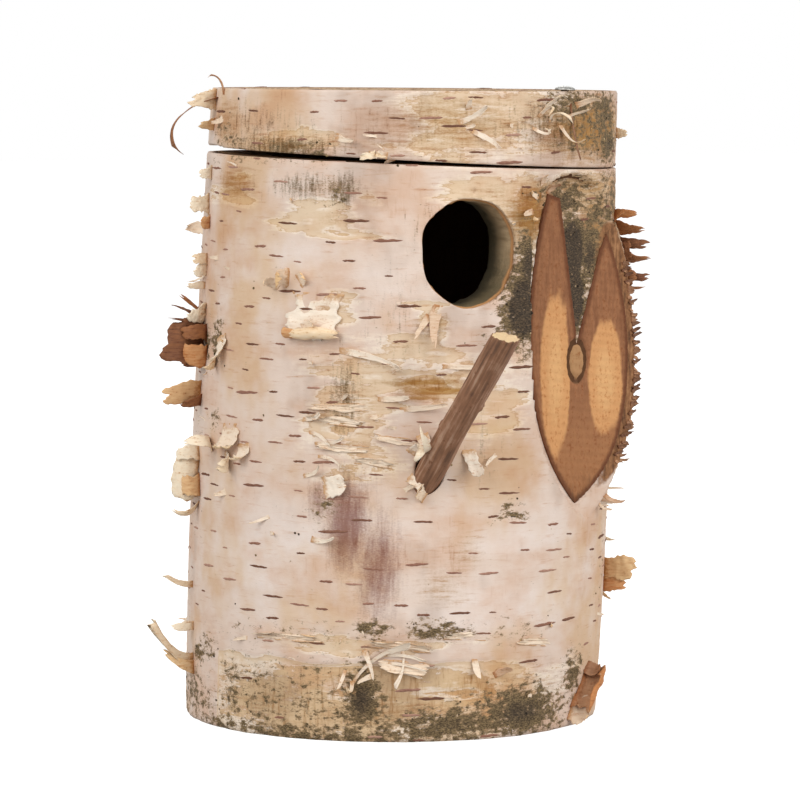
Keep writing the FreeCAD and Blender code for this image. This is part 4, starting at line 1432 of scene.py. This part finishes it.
TORN_MIDDLE = [
    (-41, 119, 86, 3, 20, 8, 1, 10, 4, 0.0, 0.2), (-38, 112, -92, 3, 22, 8, 1, 10, -4, 0.0, 0.16),
    (-40, 127, -86, 3, 20, 8, 1, 10, -4, 0.0, 0.24), (-43, 96, 5, 11, 8, 10, 0, 3, 0, 0.1, 0.03),
    (-40, 147, -8, 27, 2.4, 5, 0.0, 3, 6, 0.3, 0.1, -0.1),
    (-29, 129, -2, 13, 2.0, 8, 0.0, 6, 6, 0.3, 0.2, 0.1),
    (-23, 125, 2, 20, 2.0, 6, 0.0, 4, 8, 0.4, 0.2, 0.08),
    (-50, 120.5, 0, 11, 1.5, 8, 1, 8, 10, 0.4, 0.1, 0.28),
    (-48, 116, -6, 12, 1.4, 8, 1, 8, -8, 0.4, 0.12, -0.3),
    (-46, 111.5, 2, 16, 1.6, 7, 0.0, 6, 8, 0.4, 0.1, 0.2),
    (-45, 107, 0, 14, 1.5, 8, 1, 8, -10, 0.4, 0.1, -0.3),
    (-49, 99.5, 4, 11, 1.7, 8, 1, 8, 10, 0.3, 0.15, 0.35),
    (-46, 76, -16, 13, 2.0, 10, 1, 6, 8, 0.3, 0.08, 0.32), (-30, 104, 84, 3, 14, 9, 1, 10, 6, 0.0, 0.2),
    (-24, 115, -95, 3, 14, 9, 1, 12, -8, 0.0, 0.2), (-12, 141, 0, 18, 2.0, 6, 0.0, 5, 6, 0.4, 0.2, -0.06),
    (-52, 154, 20, 12, 4, 12, 1, 12, 6, 0.4, 0.15), (-14, 164, -100, 15, 4, 5, 0, 3, 6, 0.5, 0.42, 0.1),
    (-16, 160, -125, 10, 2.4, 7, 0, 5, 10, 0.5, 0.35)]
ROUND_PERCH = [
    (-17, 116, -70, 22, 5, 26, 3, 11, 30, 0.4, 0.0), (-19, 108, 60, 16, 6, 24, 4, 14, 20, 0.4, 0.02),
    (-12, 111, 10, 12, 4, 30, 5, 16, 20, 0.5, 0.05), (-4, 110, -78, 15, 6, 18, 1, 9, 10, 0.4, 0.0),
    (-20, 100, -40, 10, 4, 20, 3, 16, 20, 0.5, 0.08), (-15, 94, 150, 8, 7, 35, 2, 12, 6, 0.3, 0.3)]


def lay_curls(groups, tree, body):
    """Make a piece of each named group of curls."""
    for name, rows in groups:
        piece("curls_" + name, curls("curls_" + name, tree, rows), PEEL, body)
        print("curls", name, len(rows))


lay_curls((("left_edge", LEFT_EDGE), ("torn_left", TORN_LEFT), ("torn_middle", TORN_MIDDLE),
           ("round_perch", ROUND_PERCH)), BARK_TREE, BODY)

# %% [markdown]
# At the foot thin threads hang from the torn sheet. Round the sawn branch the saw left shavings, and the
# bark at its right stands up in ruffles, with ragged teeth along the rim.

# %% Small curls at the foot and round the branch
FOOT = [
    (-33, 22, 62, 26, 1.3, 5, 0, 2, 20, 0.3, 0.12, -0.45),
    (-20, 36, -70, 14, 1.2, 8, 0, 4, 20, 0.3, 0.1, -0.5), (-19, 31, -94, 5, 17, 6, 0, 6, 4, 0.1, 0.24),
    (-21, 35, 86, 3, 22, 5, 0, 6, 0, 0.0, 0.24), (-30, 35, -62, 17, 2.0, 28, 1, 5, 40, 0.4, 0.1),
    (-33, 23, -80, 13, 1.8, 38, 6, 13, 40, 0.4, 0.2), (-35, 27, -100, 14, 1.5, 34, 3, 9, 60, 0.5, 0.15),
    (-2, 38, 88, 3, 18, 5, 0, 6, 6, 0.0, 0.2), (0, 31, -80, 8, 2.4, 8, 1, 10, 6, 0.3, 0.2),
    (6, 24, 30, 9, 3, 20, 3, 14, 10, 0.4, 0.5), (-52, 37, 92, 3, 26, 5, 0, 6, 4, 0.0, 0.24),
    (18, 34, 84, 3, 16, 5, 0, 6, 4, 0.0, 0.24), (-25, 33, 6, 16, 1.4, 6, 0, 4, 8, 0.4, 0.1, -0.2),
    (-24, 30, 0, 15, 1.3, 6, 0, 4, 8, 0.4, 0.12, -0.16),
    (-23, 27, -4, 14, 1.3, 6, 0, 4, 8, 0.4, 0.14, -0.12)]
RUFFLES = [
    (58, 190, 196, 12, 6, 60, 1, 7, 45, 0.3, 0.72), (57, 185, 200, 15, 5, 62, 0, 6, -40, 0.4, 0.95),
    (58, 179, 204, 15, 6, 60, 1, 7, 50, 0.3, 0.78), (57, 173, 206, 14, 5, 62, 0, 6, -45, 0.4, 0.98),
    (58, 168, 208, 13, 5, 60, 1, 8, 50, 0.4, 0.7), (58, 195, 176, 9, 4, 60, 2, 9, 30, 0.5, 0.6),
    (56, 182, 190, 10, 9, 40, 2, 10, 10, 0.2, 0.9), (56, 171, 190, 10, 9, 40, 2, 10, -10, 0.2, 0.85),
    (62, 57, 180, 13, 10, 62, 1, 7, 10, 0.2, 0.34), (62, 50, 165, 9, 6, 60, 3, 12, -10, 0.3, 0.55)]
SHAVINGS = [
    (15, 203, 160, 8, 2.2, 14, 2, 12, 20, 0.5, 0.3), (17, 206, 120, 9, 2.6, 16, 2, 14, -20, 0.5, 0.4),
    (20, 206, 80, 8, 2.0, 18, 3, 14, 25, 0.5, 0.25), (13, 198, 190, 9, 2.4, 12, 2, 12, 15, 0.5, 0.35),
    (22, 204, 50, 7, 1.8, 20, 3, 16, -25, 0.5, 0.5), (48, 193, 120, 8, 2.4, 30, 3, 12, 20, 0.5, 0.6),
    (53, 101, -20, 8, 1.4, 45, 3, 18, 30, 0.5, 0.55), (54, 99, 10, 7, 1.2, 50, 4, 22, 20, 0.5, 0.45),
    (54, 103, -40, 7, 1.6, 45, 5, 20, 20, 0.5, 0.6), (46, 88, -60, 9, 2.2, 40, 4, 18, 20, 0.5, 0.5),
    (47, 86, -20, 10, 1.8, 45, 2, 12, 30, 0.5, 0.45), (45, 85, -80, 7, 1.8, 35, 6, 24, 20, 0.5, 0.25),
    (48, 90, 0, 8, 1.0, 45, 2, 10, 20, 0.5, 0.3), (46, 84, 20, 7, 1.4, 40, 6, 24, 20, 0.5, 0.1)]


def rim_teeth():
    """Ragged teeth of bark along the branch's lower right rim, three to each point of its outline."""
    teeth = []
    for index, (bearing, height) in enumerate(zip(*log_places(HEART)[:2])):
        for part in (-1.4, 0.0, 1.4):
            if bearing > 46 and height < 176:
                wave = math.sin(5 * index + 2 * part)
                root = (bearing + 2, height + part, 60 * wave, 3 + wave, 2.2 + wave)
                teeth.append(root + (34, 6, 16, 10, 0.4, 0.85 + 0.15 * wave))
    return teeth


lay_curls((("branch_rim", rim_teeth()), ("foot", FOOT), ("ruffles", RUFFLES), ("shavings", SHAVINGS)),
          BARK_TREE, BODY)

# %% [markdown]
# A few curls on the back keep it from looking bare. Those on the lid turn with it, and one long ribbon on
# its left replaces a solid.

# %% Small curls at the back and on the lid
ELSEWHERE = [
    (110, 190, 84, 9, 20, 16, 2, 14, 10, 0.3, 0.2), (118, 60, -92, 10, 24, 14, 2, 12, 12, 0.3, 0.3),
    (150, 128, 10, 16, 9, 14, 1, 14, 10, 0.5, 0.1), (172, 40, -86, 9, 18, 16, 3, 16, 10, 0.4, 0.25),
    (200, 150, 190, 14, 8, 16, 2, 14, -10, 0.5, 0.12), (228, 86, 94, 10, 22, 16, 2, 14, 12, 0.3, 0.1),
    (238, 188, 180, 13, 6, 20, 3, 14, 10, 0.5, 0.25), (84, 120, -88, 8, 18, 16, 3, 16, 10, 0.3, 0.2),
    (130, 122, 2, 20, 2.0, 8, 0, 6, 10, 0.4, 0.1, 0.2),
    (158, 118, 180, 18, 1.8, 8, 0, 6, 10, 0.4, 0.1, 0.2),
    (206, 44, 4, 18, 2.0, 8, 0, 6, 10, 0.4, 0.1, -0.2),
    (96, 66, 178, 22, 2.0, 8, 0, 6, 10, 0.4, 0.1, 0.15)]
LID_CURLS = [
    (26, 238, -90, 20, 1.0, 8, -0.4, 1.5, 15, 0.4, 0.9, 0.12),
    (-34, 219, 10, 14, 3.0, 24, 12, 17, 10, 0.2, 0.08),
    (-29, 219, 168, 12, 2.6, 26, 10, 18, -15, 0.3, 0.16),
    (-10, 231, 20, 15, 2.2, 16, 1, 9, 12, 0.4, 0.1, 0.2),
    (-6, 228, -20, 14, 2.0, 18, 1, 10, 10, 0.4, 0.1, -0.2),
    (-7, 236, 100, 9, 2.0, 28, 4, 16, 20, 0.5, 0.15), (16, 235, 80, 13, 2.2, 36, 2, 10, 30, 0.5, 0.1),
    (22, 230, -80, 14, 2.0, 34, 2, 10, -30, 0.5, 0.2), (28, 237, 30, 11, 2.6, 34, 3, 12, 20, 0.5, 0.3),
    (-44, 226, -20, 11, 2.4, 10, 1, 10, 6, 0.4, 0.2, 0.2),
    (60, 226, 175, 5, 4, 58, 3, 14, -15, 0.4, 0.15),
    (14, 233, 60, 15, 1.2, 30, 4, 14, 40, 0.3, 0.15, 0.2),
    (18, 231, 120, 14, 1.1, 32, 6, 16, -40, 0.3, 0.1, -0.2),
    (24, 233, 20, 15, 1.2, 30, 5, 15, 40, 0.3, 0.2, 0.2),
    (12, 229, -30, 12, 1.1, 28, 6, 18, 30, 0.3, 0.1), (150, 230, 20, 12, 7, 24, 3, 14, 10, 0.4, 0.2),
    (220, 228, 180, 12, 7, 24, 3, 14, 10, 0.4, 0.15)]
RIBBON_LID = [
    (-96, 240, 90, 33, 3.4, 104, 0.4, 7.5, 10, 0.35, 0.86), (-97, 239, 4, 12, 7, 62, 0, 4, 15, 0.3, 0.1),
    (-90, 241, 92, 11, 1.8, 8, 0, 26, 10, 0.5, 0.62), (-97, 230, -20, 7, 5, 55, 3, 12, -15, 0.5, 0.3)]


lay_curls((("elsewhere", ELSEWHERE),), BARK_TREE, BODY)
lay_curls((("lid", LID_CURLS),), LID_TREE, LID)
piece("peel_ribbon_lid", curls("peel_ribbon_lid", LID_TREE, RIBBON_LID), PEEL, LID, "peeled_ribbon_lid")
print("curls in the lid's ribbon:", len(RIBBON_LID))

# %% [markdown]
# ## Lenticels, flakes and moss
# Small things repeat over the bark by the hundred: lenticels, which are the level breathing slits of
# birch, loose flakes and crumbs of moss. A Geometry Nodes group scatters a few shapes over a mesh: points
# at least a set distance apart, thinned by an attribute, each with a shape picked at random, laid on the
# surface with its length level, and turned and scaled.

# %% Scatter group
def scatter_group():
    """Geometry Nodes group that lays shapes from a collection over a mesh."""
    tree = bpy.data.node_groups.new("scatter_on_bark", "GeometryNodeTree")
    for name, kind in (
            ("Geometry", "Geometry"), ("Shapes", "Collection"), ("Thinning", "String"), ("Spacing", "Float"),
            ("Density", "Float"), ("Smallest", "Float"), ("Largest", "Float"), ("Spin", "Float"),
            ("Seed", "Int"), ("Material", "Material")):
        tree.interface.new_socket(name, in_out="INPUT", socket_type="NodeSocket" + kind)
    tree.interface.new_socket("Geometry", in_out="OUTPUT", socket_type="NodeSocketGeometry")
    given = add(tree, "NodeGroupInput").node.outputs
    thinning = add(tree, "GeometryNodeInputNamedAttribute", {"Name": given["Thinning"]}, "Attribute",
                   data_type="FLOAT")
    points = add(tree, "GeometryNodeDistributePointsOnFaces", {
        "Mesh": given["Geometry"], "Distance Min": given["Spacing"], "Density Max": given["Density"],
        "Density Factor": thinning, "Seed": given["Seed"]}, "Points", distribute_method="POISSON")
    normal = points.node.outputs["Normal"]
    level = add(tree, "ShaderNodeVectorMath", {0: (0, 0, 1), 1: normal}, operation="CROSS_PRODUCT")
    facing = add(tree, "FunctionNodeAlignRotationToVector", {"Vector": normal}, axis="Z")
    facing = add(tree, "FunctionNodeAlignRotationToVector", {"Rotation": facing, "Vector": level},
                 axis="X", pivot_axis="Z")
    less = add(tree, "ShaderNodeMath", {0: given["Spin"], 1: -1.0}, operation="MULTIPLY")
    angle = add(tree, "FunctionNodeRandomValue", {2: less, 3: given["Spin"], "Seed": given["Seed"]}, 1)
    spin = add(tree, "FunctionNodeAxisAngleToRotation", {"Axis": (0, 0, 1), "Angle": angle})
    facing = add(tree, "FunctionNodeRotateRotation", {0: facing, 1: spin}, rotation_space="LOCAL")
    size = add(tree, "FunctionNodeRandomValue", {
        2: given["Smallest"], 3: given["Largest"], "Seed": given["Seed"]}, 1)
    shapes = add(tree, "GeometryNodeCollectionInfo", {0: given["Shapes"], 1: True, 2: True})
    laid = add(tree, "GeometryNodeInstanceOnPoints", {
        "Points": points, "Instance": shapes, "Pick Instance": True, "Rotation": facing, "Scale": size})
    shade = add(tree, "FunctionNodeRandomValue", {2: 0.0, 3: 1.0, "Seed": 7}, 1)
    laid = add(tree, "GeometryNodeStoreNamedAttribute", {"Geometry": laid, "Name": "shade", "Value": shade},
               domain="INSTANCE")
    real = add(tree, "GeometryNodeRealizeInstances", {0: laid})
    real = add(tree, "GeometryNodeSetMaterial", {"Geometry": real, "Material": given["Material"]})
    add(tree, "NodeGroupOutput", {0: real})
    return tree


SCATTER = scatter_group()


def scatter(host, shapes, material, **given):
    """Mesh of shapes laid over a host mesh; given holds the group's inputs by name."""
    shelf = bpy.data.collections.new("shapes")
    for mesh in shapes:
        shelf.objects.link(bpy.data.objects.new(mesh.name, mesh))
    given.update(Shapes=shelf, Material=material)

    def setup(modifier):
        modifier.node_group = SCATTER
        for item in SCATTER.interface.items_tree:
            if item.in_out == "INPUT" and item.name in given:
                modifier[item.identifier] = given[item.name]

    result = evaluated(host.copy(), "NODES", setup)
    for thing in list(shelf.objects):
        bpy.data.objects.remove(thing)
    bpy.data.collections.remove(shelf)
    return result


print("scatter group:", len(SCATTER.nodes), "nodes")

# %% [markdown]
# A lenticel is a dark, raised lens, bent to the log's curve so that its ends lie on the bark. Lenticels keep
# clear of moss, of torn places and of the sawn branch and the entrance.

# %% Lenticels
def lenticel(length, height, seed):
    """Low lens, level and bent to the log's radius, with a ragged outline."""
    columns, rows = 15, 5
    share = np.linspace(-1, 1, columns)
    across = np.linspace(-1, 1, rows)
    uneven = 0.75 + 0.5 * field(share * 4 + 9, 0 * share, seed)
    tall = height / 2 * np.maximum(1 - np.abs(share) ** 7, 0.25) * uneven
    wander = 0.25 * height * (field(share * 3, 0 * share + 5, seed + 2) - 0.5)
    x = np.broadcast_to(share * length / 2, (rows, columns))
    y = across[:, None] * tall[None, :] + wander[None, :]
    dome = 0.30 * (1 - across ** 2)[:, None] * np.ones(columns) - 0.08
    z = dome - x ** 2 / (2 * RADIUS)
    return mesh_from("lenticel", np.stack([x, y, z], -1).reshape(-1, 3), grid_faces(rows, columns))


def lenticel_cork():
    """Lenticel cork: matt, dark red-brown."""
    material, tree, surface = shader("lenticel_cork", 0.9)
    shade = add(tree, "ShaderNodeAttribute", attribute_name="shade", output="Fac")
    fine = grain(tree, 1.2)
    tint = frayed(tree, shade, (fine, 0.6))
    colour = fill_ramp(add(tree, "ShaderNodeValToRGB", {"Fac": tint}), [
        (0.1, "#684636"), (0.6, "#8A6251"), (1.0, "#AC8774")])
    finish_surface(tree, surface, colour, fine, 0.3)
    return material


def keep_clear(points):
    """1 on plain bark, 0 near the sawn branch and the entrance."""
    near = smooth(6, 12, from_outline(points))
    facing = points @ STUB_NORMAL > 0.5 * RADIUS
    off = np.hypot(points[:, 0] - ENTRANCE_X, points[:, 2] - ENTRANCE_Z) - ENTRANCE_WIDTH / 2
    return np.where(facing, near, 1.0) * np.where(points[:, 1] < 0, smooth(5, 9, off), 1.0)


# Lengths, heights and seeds of the shapes that are scattered.
LENTICELS = [lenticel(*size) for size in (
    (8.5, 1.05, 1), (5.5, 1.0, 2), (10.5, 1.15, 3), (5.0, 1.05, 4), (4.2, 1.0, 5), (7.5, 1.05, 6))]
BARKS = (("log", shell, log_measured, BODY), ("lid", lid_shell, lid_measured, LID))
OUTSIDE_DEPTH = 1.5


def outer_places(mesh, measured):
    """Points of a bark mesh, their bearings and heights, and whether they lie on its outside."""
    points = points_of(mesh)
    bearings, heights = log_places(points)[:2]
    return points, bearings, heights, depth_below(points, measured) < OUTSIDE_DEPTH


CORK = lenticel_cork()
for name, mesh, measured, body in BARKS:
    points, bearings, heights, outside = outer_places(mesh, measured)
    plain = smooth(0.5, 0.2, patches(bearings, heights, MOSS_AND_SHADOW))
    plain = plain * smooth(0.40, 0.62, sheets_left(bearings, heights))
    above_foot = smooth(20, 45, heights)
    set_numbers(mesh, slits=outside * (0.15 + 0.85 * plain * above_foot) * keep_clear(points))
    marks = scatter(
        mesh, LENTICELS, CORK, Thinning="slits", Spacing=8.2 * MM, Density=12500.0,
        Smallest=0.7, Largest=1.15, Spin=0.06, Seed=4)
    piece("lenticels_" + name, marks, CORK, body)
    print("lenticels on the", name, len(marks.polygons) // len(LENTICELS[0].polygons))

# %% [markdown]
# Loose flakes are small curls, thickest where sheets have torn away. Only a few shapes are made, and each is
# laid many times, turned and scaled.

# %% Loose flakes
FLAKY = [
    (2, 127, 12, 14, 0.5), (-36, 125, 18, 34, 0.9), (-8, 135, 18, 10, 0.8), (-26, 30, 40, 14, 0.6),
    (-88, 150, 8, 70, 0.9), (16, 232, 24, 10, 0.7), (-70, 220, 12, 16, 0.4), (-12, 108, 12, 10, 0.7),
    (50, 190, 6, 16, 0.4), (14, 196, 8, 10, 0.8), (-60, 195, 16, 12, 0.35), (-28, 222, 8, 6, 0.8),
    (150, 125, 30, 30, 0.6), (90, 60, 25, 24, 0.5), (210, 40, 30, 18, 0.5), (-44, 208, 12, 8, 0.3),
    (38, 90, 8, 8, 0.6)]


def small_curl(size, seed, way):
    """Small curl as a shape for scattering, to the right or, with way -1, to the left."""
    local, quads, along, inner = curl_arrays(seed, FLAKE_THICKNESS, size)
    local = local * (way, way, 1) - (0, 0, 0.3)
    mesh = outward_faces(mesh_from("flake", local, quads))
    set_numbers(mesh, along=along, inner=inner, tone=0.05 + 0.35 * field(seed * 1.7, 0.0, 5))
    return mesh


# A flake's size is written as a curl's is: length, width, lift, two bends, twist and taper. Its seed and
# the side that it points to follow.
FLAKES = [small_curl(size, seed, way) for size, seed, way in (
    ((7, 2.2, 8, 3, 20, 10, 0.5), 1, 1), ((9, 2.6, 6, 2, 14, -12, 0.5), 2, -1),
    ((5, 2.0, 10, 6, 28, 8, 0.5), 3, 1), ((12, 1.8, 6, 1, 12, 24, 0.6), 4, -1),
    ((7, 2.8, 8, 3, 20, -6, 0.5), 5, -1), ((9, 1.3, 14, 3, 18, 40, 0.6), 6, 1))]
for name, mesh, measured, body in BARKS:
    _, bearings, heights, outside = outer_places(mesh, measured)
    torn_away = 0.03 + 0.97 * patches(bearings, heights, FLAKY) ** 2
    set_numbers(mesh, loose=outside * torn_away * smooth(6, 14, heights))
    bits = scatter(
        mesh, FLAKES, PEEL, Thinning="loose", Spacing=3.6 * MM, Density=11000.0,
        Smallest=0.35, Largest=1.0, Spin=0.7, Seed=9)
    piece("flakes_" + name, bits, PEEL, body)
    print("on the", name, len(bits.polygons), "flake faces")

# %% [markdown]
# Dry moss and lichen sit on the bark as crumbs: lumpy dark grains in heaps, thick in the middle of a patch
# and thin at its edge. The material reads the same patches, so that thick moss is darker.

# %% Moss
def crumb(seed):
    """Lumpy grain of moss."""
    ball = bmesh.new()
    bmesh.ops.create_icosphere(ball, subdivisions=1, radius=MM)
    for point in ball.verts:
        spot = np.array(point.co) / MM
        lump = 0.6 + 0.8 * float(field(spot[0] * 1.5 + seed, spot[1] * 1.5 + spot[2] * 2.3, seed))
        point.co = point.co * lump
        point.co.z *= 0.7
    mesh = bpy.data.meshes.new("crumb")
    ball.to_mesh(mesh)
    ball.free()
    mesh.shade_smooth()
    return mesh


def dark_moss():
    """Dry moss and dark lichen: black-brown crumbs with olive and grey tips."""
    material, tree, surface = shader("moss_dry_dark", 0.95)
    shade = add(tree, "ShaderNodeAttribute", attribute_name="shade", output="Fac")
    fine = grain(tree, 0.8)
    moss = add(tree, "ShaderNodeAttribute", attribute_name="moss", output="Fac")
    tint = frayed(tree, shade, (fine, 0.5))
    dark = fill_ramp(add(tree, "ShaderNodeValToRGB", {"Fac": tint}), [
        (0.0, "#1B1510"), (0.35, "#352C22"), (0.6, "#584837"), (0.8, "#866F55"), (1.0, "#BCA283")])
    olive = fill_ramp(add(tree, "ShaderNodeValToRGB", {"Fac": tint}), [
        (0.0, "#32281C"), (0.4, "#5C4D35"), (0.7, "#8A7652"), (1.0, "#BFA984")])
    colour = painted(tree, olive, moss, 0.85, 1.15, dark)
    finish_surface(tree, surface, colour, fine, 0.3)
    return material


CRUMBS = [crumb(seed) for seed in (11, 12, 13, 14)]
MOSSY = dark_moss()
for name, mesh, measured, body in BARKS:
    _, bearings, heights, outside = outer_places(mesh, measured)
    mossy = patches(bearings, heights, MOSS_AND_SHADOW) + 1.7 * (rough(bearings, heights, 4, 5, 77, 3) - 0.5)
    heaped = 0.34 * smooth(0.6, 1.3, mossy) + 0.06 * smooth(0.3, 0.6, mossy)
    set_numbers(mesh, heaped=outside * heaped)
    heap = scatter(
        mesh, CRUMBS, MOSSY, Thinning="heaped", Spacing=0.8 * MM, Density=240000.0,
        Smallest=0.2, Largest=0.6, Spin=3.1, Seed=5)
    piece("moss_" + name, heap, MOSSY, body)
    print("on the", name, len(heap.polygons), "moss faces")

# %% [markdown]
# ## Studio
# The camera stands where the photographer stood: to the left of the entrance, level with the lid. A long
# lens from far off keeps the log's sides nearly upright.

# %% Camera
EYE_BEARING, EYE_PITCH = -22.2, 5.04
EYE_DISTANCE, EYE_SIDE, EYE_HEIGHT = 1500.0, 3.8, 253.9
LENS, SENSOR = 173.0, 36.0


def studio_camera():
    """Camera at the photograph's place."""
    data = bpy.data.cameras.new("camera")
    data.lens, data.sensor_width = LENS, SENSOR
    data.clip_end = 20.0
    eye = bpy.data.objects.new("camera", data)
    bpy.context.scene.collection.objects.link(eye)
    place = outward(EYE_BEARING) * EYE_DISTANCE + outward(EYE_BEARING + 90) * EYE_SIDE
    eye.location = (place + Vector((0, 0, EYE_HEIGHT))) * MM
    eye.rotation_euler = (math.radians(90 - EYE_PITCH), 0, math.radians(EYE_BEARING))
    bpy.context.scene.camera = eye


studio_camera()
print("camera %.1f m from the log's axis" % (EYE_DISTANCE * MM))

# %% [markdown]
# The photograph's background is white. A floor and a sky that are white to the camera, but dimmer as lights,
# give that without washing the bark out, and three soft lamps shape the log.

# %% Floor, sky and lamps
FLOOR_HALF, FLOOR_DROP = 8000.0, -0.2
FLOOR_GREY, FLOOR_GLOW, SKY_LIGHT = 0.45, 0.86, 0.55
# Lamps: name, bearing from the camera, distance, height and size in metres, and power in watts.
LAMPS = (
    ("key_lamp", -40, 1.6, 1.1, 1.2, 20), ("fill_lamp", 55, 1.6, 0.7, 1.4, 18),
    ("back_lamp", 180, 1.6, 1.2, 1.0, 8))


def lamp(name, bearing, distance, height, size, power):
    """Square soft lamp that faces the middle of the log."""
    data = bpy.data.lights.new(name, "AREA")
    data.size, data.energy = size, power
    thing = bpy.data.objects.new(name, data)
    bpy.context.scene.collection.objects.link(thing)
    thing.location = outward(bearing) * distance + Vector((0, 0, height))
    aim = Vector((0, 0, 0.12)) - thing.location
    thing.rotation_euler = aim.to_track_quat("-Z", "Y").to_euler()


def seen_directly(tree):
    """1 for rays that the camera sees, straight or by a mirror or glass; 0 for rays that light things."""
    straight = add(tree, "ShaderNodeLightPath", output="Is Camera Ray")
    ray = straight.node.outputs
    seen = add(tree, "ShaderNodeMath", {0: straight, 1: ray["Is Glossy Ray"]}, operation="MAXIMUM")
    return add(tree, "ShaderNodeMath", {0: seen, 1: ray["Is Transmission Ray"]}, operation="MAXIMUM")


def pale_floor():
    """Floor that is white to the camera and keeps the shadow."""
    material, tree = empty_material("studio_floor_white")
    matt = add(tree, "ShaderNodeBsdfDiffuse", {"Color": (FLOOR_GREY, FLOOR_GREY, FLOOR_GREY, 1)})
    glow = add(tree, "ShaderNodeMath", {0: seen_directly(tree), 1: FLOOR_GLOW}, operation="MULTIPLY")
    light = add(tree, "ShaderNodeEmission", {"Strength": glow})
    both = add(tree, "ShaderNodeAddShader", {0: matt, 1: light})
    add(tree, "ShaderNodeOutputMaterial", {"Surface": both})
    corners = [(x * FLOOR_HALF, y * FLOOR_HALF, FLOOR_DROP) for x, y in ((-1, -1), (1, -1), (1, 1), (-1, 1))]
    floor = bpy.data.objects.new("studio_floor", mesh_from("studio_floor", corners, [(0, 1, 2, 3)]))
    floor.data.materials.append(material)
    bpy.context.scene.collection.objects.link(floor)


def white_world():
    """Even light from all round, white to the camera."""
    world = bpy.data.worlds.new("studio")
    bpy.context.scene.world = world
    world.use_nodes = True
    tree = world.node_tree
    tree.nodes.clear()
    strength = add(tree, "ShaderNodeMapRange", {0: seen_directly(tree), 3: SKY_LIGHT, 4: 1.0})
    sky = add(tree, "ShaderNodeBackground", {"Color": (1, 1, 1, 1), "Strength": strength})
    add(tree, "ShaderNodeOutputWorld", {"Surface": sky})


pale_floor()
white_world()
for name, turn, *rest in LAMPS:
    lamp(name, EYE_BEARING + turn, *rest)
bpy.context.scene.view_settings.view_transform = "Standard"
print("lamps:", len(LAMPS))
